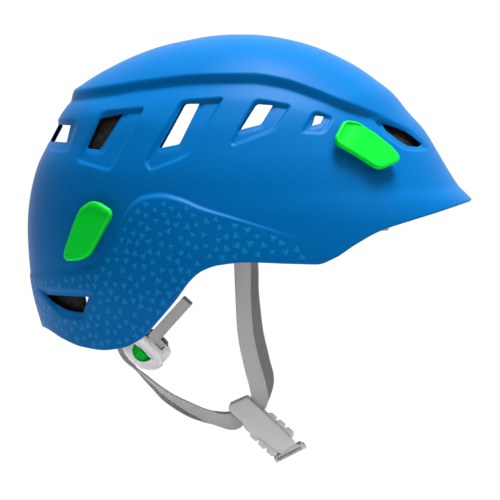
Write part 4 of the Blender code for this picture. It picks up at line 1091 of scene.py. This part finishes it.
def make_buckle():
    place = buckle_frame(-1)
    half = BUCKLE_THICK / 2
    for name, outline, matrix, node_name in (
            ("sleeve_moulding", SLEEVE, place, "buckle_body"),
            ("junction_moulding", JUNCTION, buckle_frame(1), "strap_junction_left")):
        piece = slab_piece(name, outline, -half, half, matrix, GREY, 1.1)
        for x, y in STRAP_POCKETS.values():
            box_cut(piece, (8.0, WEB_WIDE + 1.8, WEB_THICK + 1.4), (x, y, 0), matrix)
        if name.startswith("sleeve"):
            box_cut(piece, (30, 40, 3.9), (0, 33, 0), matrix)
        resharpen(piece, 45)
        place_piece(piece, "helmet", "grey_plastic", node_name)
    plug = slab_piece("plug_moulding", PLUG, -1.6, 1.6, place, GREY, 0.5, 2)
    tilt = math.radians(21)
    slot = (place[0] + place[1] * -1.5 + place[2] * 40.4,
            place[1] * math.cos(tilt) + place[2] * math.sin(tilt),
            place[2] * math.cos(tilt) - place[1] * math.sin(tilt), place[3])
    box_cut(plug, (CHIN_WIDE - 1.0, 1.9, 12), (0, 0, 0), slot)
    resharpen(plug, 45)
    place_piece(plug, "plug", "grey_plastic", "buckle_plug")
    for label, mirror in (("upper", 1), ("lower", -1)):
        outline = [(mirror * x, y) for x, y in RELEASE_ARM]
        arm = slab_piece(f"ribbed_arm_{label}", outline, -1.6, 1.6, place, GREY, 0.45, 2)
        place_piece(arm, f"arm_{label}", "grey_plastic", f"release_arm_{label}")


# ---- Camera, light and floor ----
VIEW_AZIMUTH = math.radians(0.25)
VIEW_ELEVATION = math.radians(0.3)
VIEW_DISTANCE = 14.0
VIEW_TARGET = Vector((5.9, 0.0, -99.9)) * MM
FIELD = 0.2965


def make_camera():
    camera = bpy.data.objects.new("camera", bpy.data.cameras.new("camera"))
    out = Vector((math.sin(VIEW_AZIMUTH) * math.cos(VIEW_ELEVATION),
                  -math.cos(VIEW_AZIMUTH) * math.cos(VIEW_ELEVATION), math.sin(VIEW_ELEVATION)))
    camera.location = VIEW_TARGET + out * VIEW_DISTANCE
    camera.rotation_euler = (-out).to_track_quat("-Z", "Y").to_euler()
    camera.data.sensor_width = 36.0
    camera.data.lens = 36.0 * VIEW_DISTANCE / FIELD
    camera.data.clip_end = 40.0
    bpy.context.scene.collection.objects.link(camera)
    bpy.context.scene.camera = camera


def area_light(name, place, size, power):
    light = bpy.data.lights.new(name, "AREA")
    light.shape = "DISK"
    light.size = size
    light.energy = power
    obj = bpy.data.objects.new(name, light)
    obj.location = place
    obj.rotation_euler = (VIEW_TARGET - Vector(place)).to_track_quat("-Z", "Y").to_euler()
    bpy.context.scene.collection.objects.link(obj)


FLOOR_BELOW = 0.030
TOP_POWER = 112.0
KEY_POWER = 5.0
WORLD_BACK, WORLD_FRONT, WORLD_TOP = 1.05, 0.12, 0.9


def studio_world():
    """White behind the object, dimmer towards the viewer's side, and bright overhead."""
    world = bpy.data.worlds.new("studio")
    world.use_nodes = True
    place = node(world, "ShaderNodeTexCoord")
    split = node(world, "ShaderNodeSeparateXYZ", {"Vector": place.outputs["Generated"]})
    level = node(world, "ShaderNodeMapRange", {
        "Value": split.outputs["Y"], "From Min": -0.2, "From Max": 0.8,
        "To Min": WORLD_FRONT, "To Max": WORLD_BACK}, interpolation_type="SMOOTHSTEP")
    high = node(world, "ShaderNodeMapRange", {
        "Value": split.outputs["Z"], "From Min": 0.55, "From Max": 0.95},
        interpolation_type="SMOOTHSTEP")
    both = node(world, "ShaderNodeMix", {"Factor": high.outputs["Result"],
                                         "A": level.outputs["Result"], "B": WORLD_TOP})
    background = world.node_tree.nodes["Background"]
    background.inputs["Color"].default_value = (1, 1, 1, 1)
    world.node_tree.links.new(both.outputs["Result"], background.inputs["Strength"])
    return world


def make_stage():
    scene = bpy.context.scene
    scene.view_settings.view_transform = "Standard"
    scene.world = studio_world()
    area_light("top", (0.38, -0.12, 1.85), 1.1, TOP_POWER)
    area_light("key", (1.5, -1.1, 1.1), 1.0, KEY_POWER)
    floor_mesh = bpy.data.meshes.new("floor")
    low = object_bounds()[0][2] - FLOOR_BELOW
    reach = 1.0
    floor_mesh.from_pydata([(-reach, -reach, low), (reach, -reach, low), (reach, reach, low),
                            (-reach, reach, low)], [], [(0, 1, 2, 3)])
    floor = bpy.data.objects.new("floor", floor_mesh)
    pale = material("floor_pale", (0.6, 0.6, 0.6), 0.8)
    colour_mix(pale, object_noise(pale, 3.0), (0.58, 0.58, 0.58), (0.61, 0.61, 0.61))
    floor_mesh.materials.append(pale)
    scene.collection.objects.link(floor)


# ---- CAD nodes that keep their shape ----
def finish_nodes():
    kept = {"clip_base": BLUE, "clip_pin": STEEL, "cradle_pivot_pin": STEEL, "adjuster_axle": STEEL,
            "strap_anchor": GREY, "chin_adjuster": GREY, "cradle_bracket": GREY,
            "nape_band": BAND, "adjuster_pinion": GREY}
    for name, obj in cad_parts.items():
        for start, mat in kept.items():
            if name.startswith(start):
                obj.data.materials.clear()
                obj.data.materials.append(mat)
                break


def main():
    make_camera()
    make_stage()
    finish_nodes()
    outer, tris = make_shell()
    make_liner()
    make_print(outer, tris)
    make_pads()
    make_clips()
    make_straps()
    make_nape()
    make_buckle()


main()
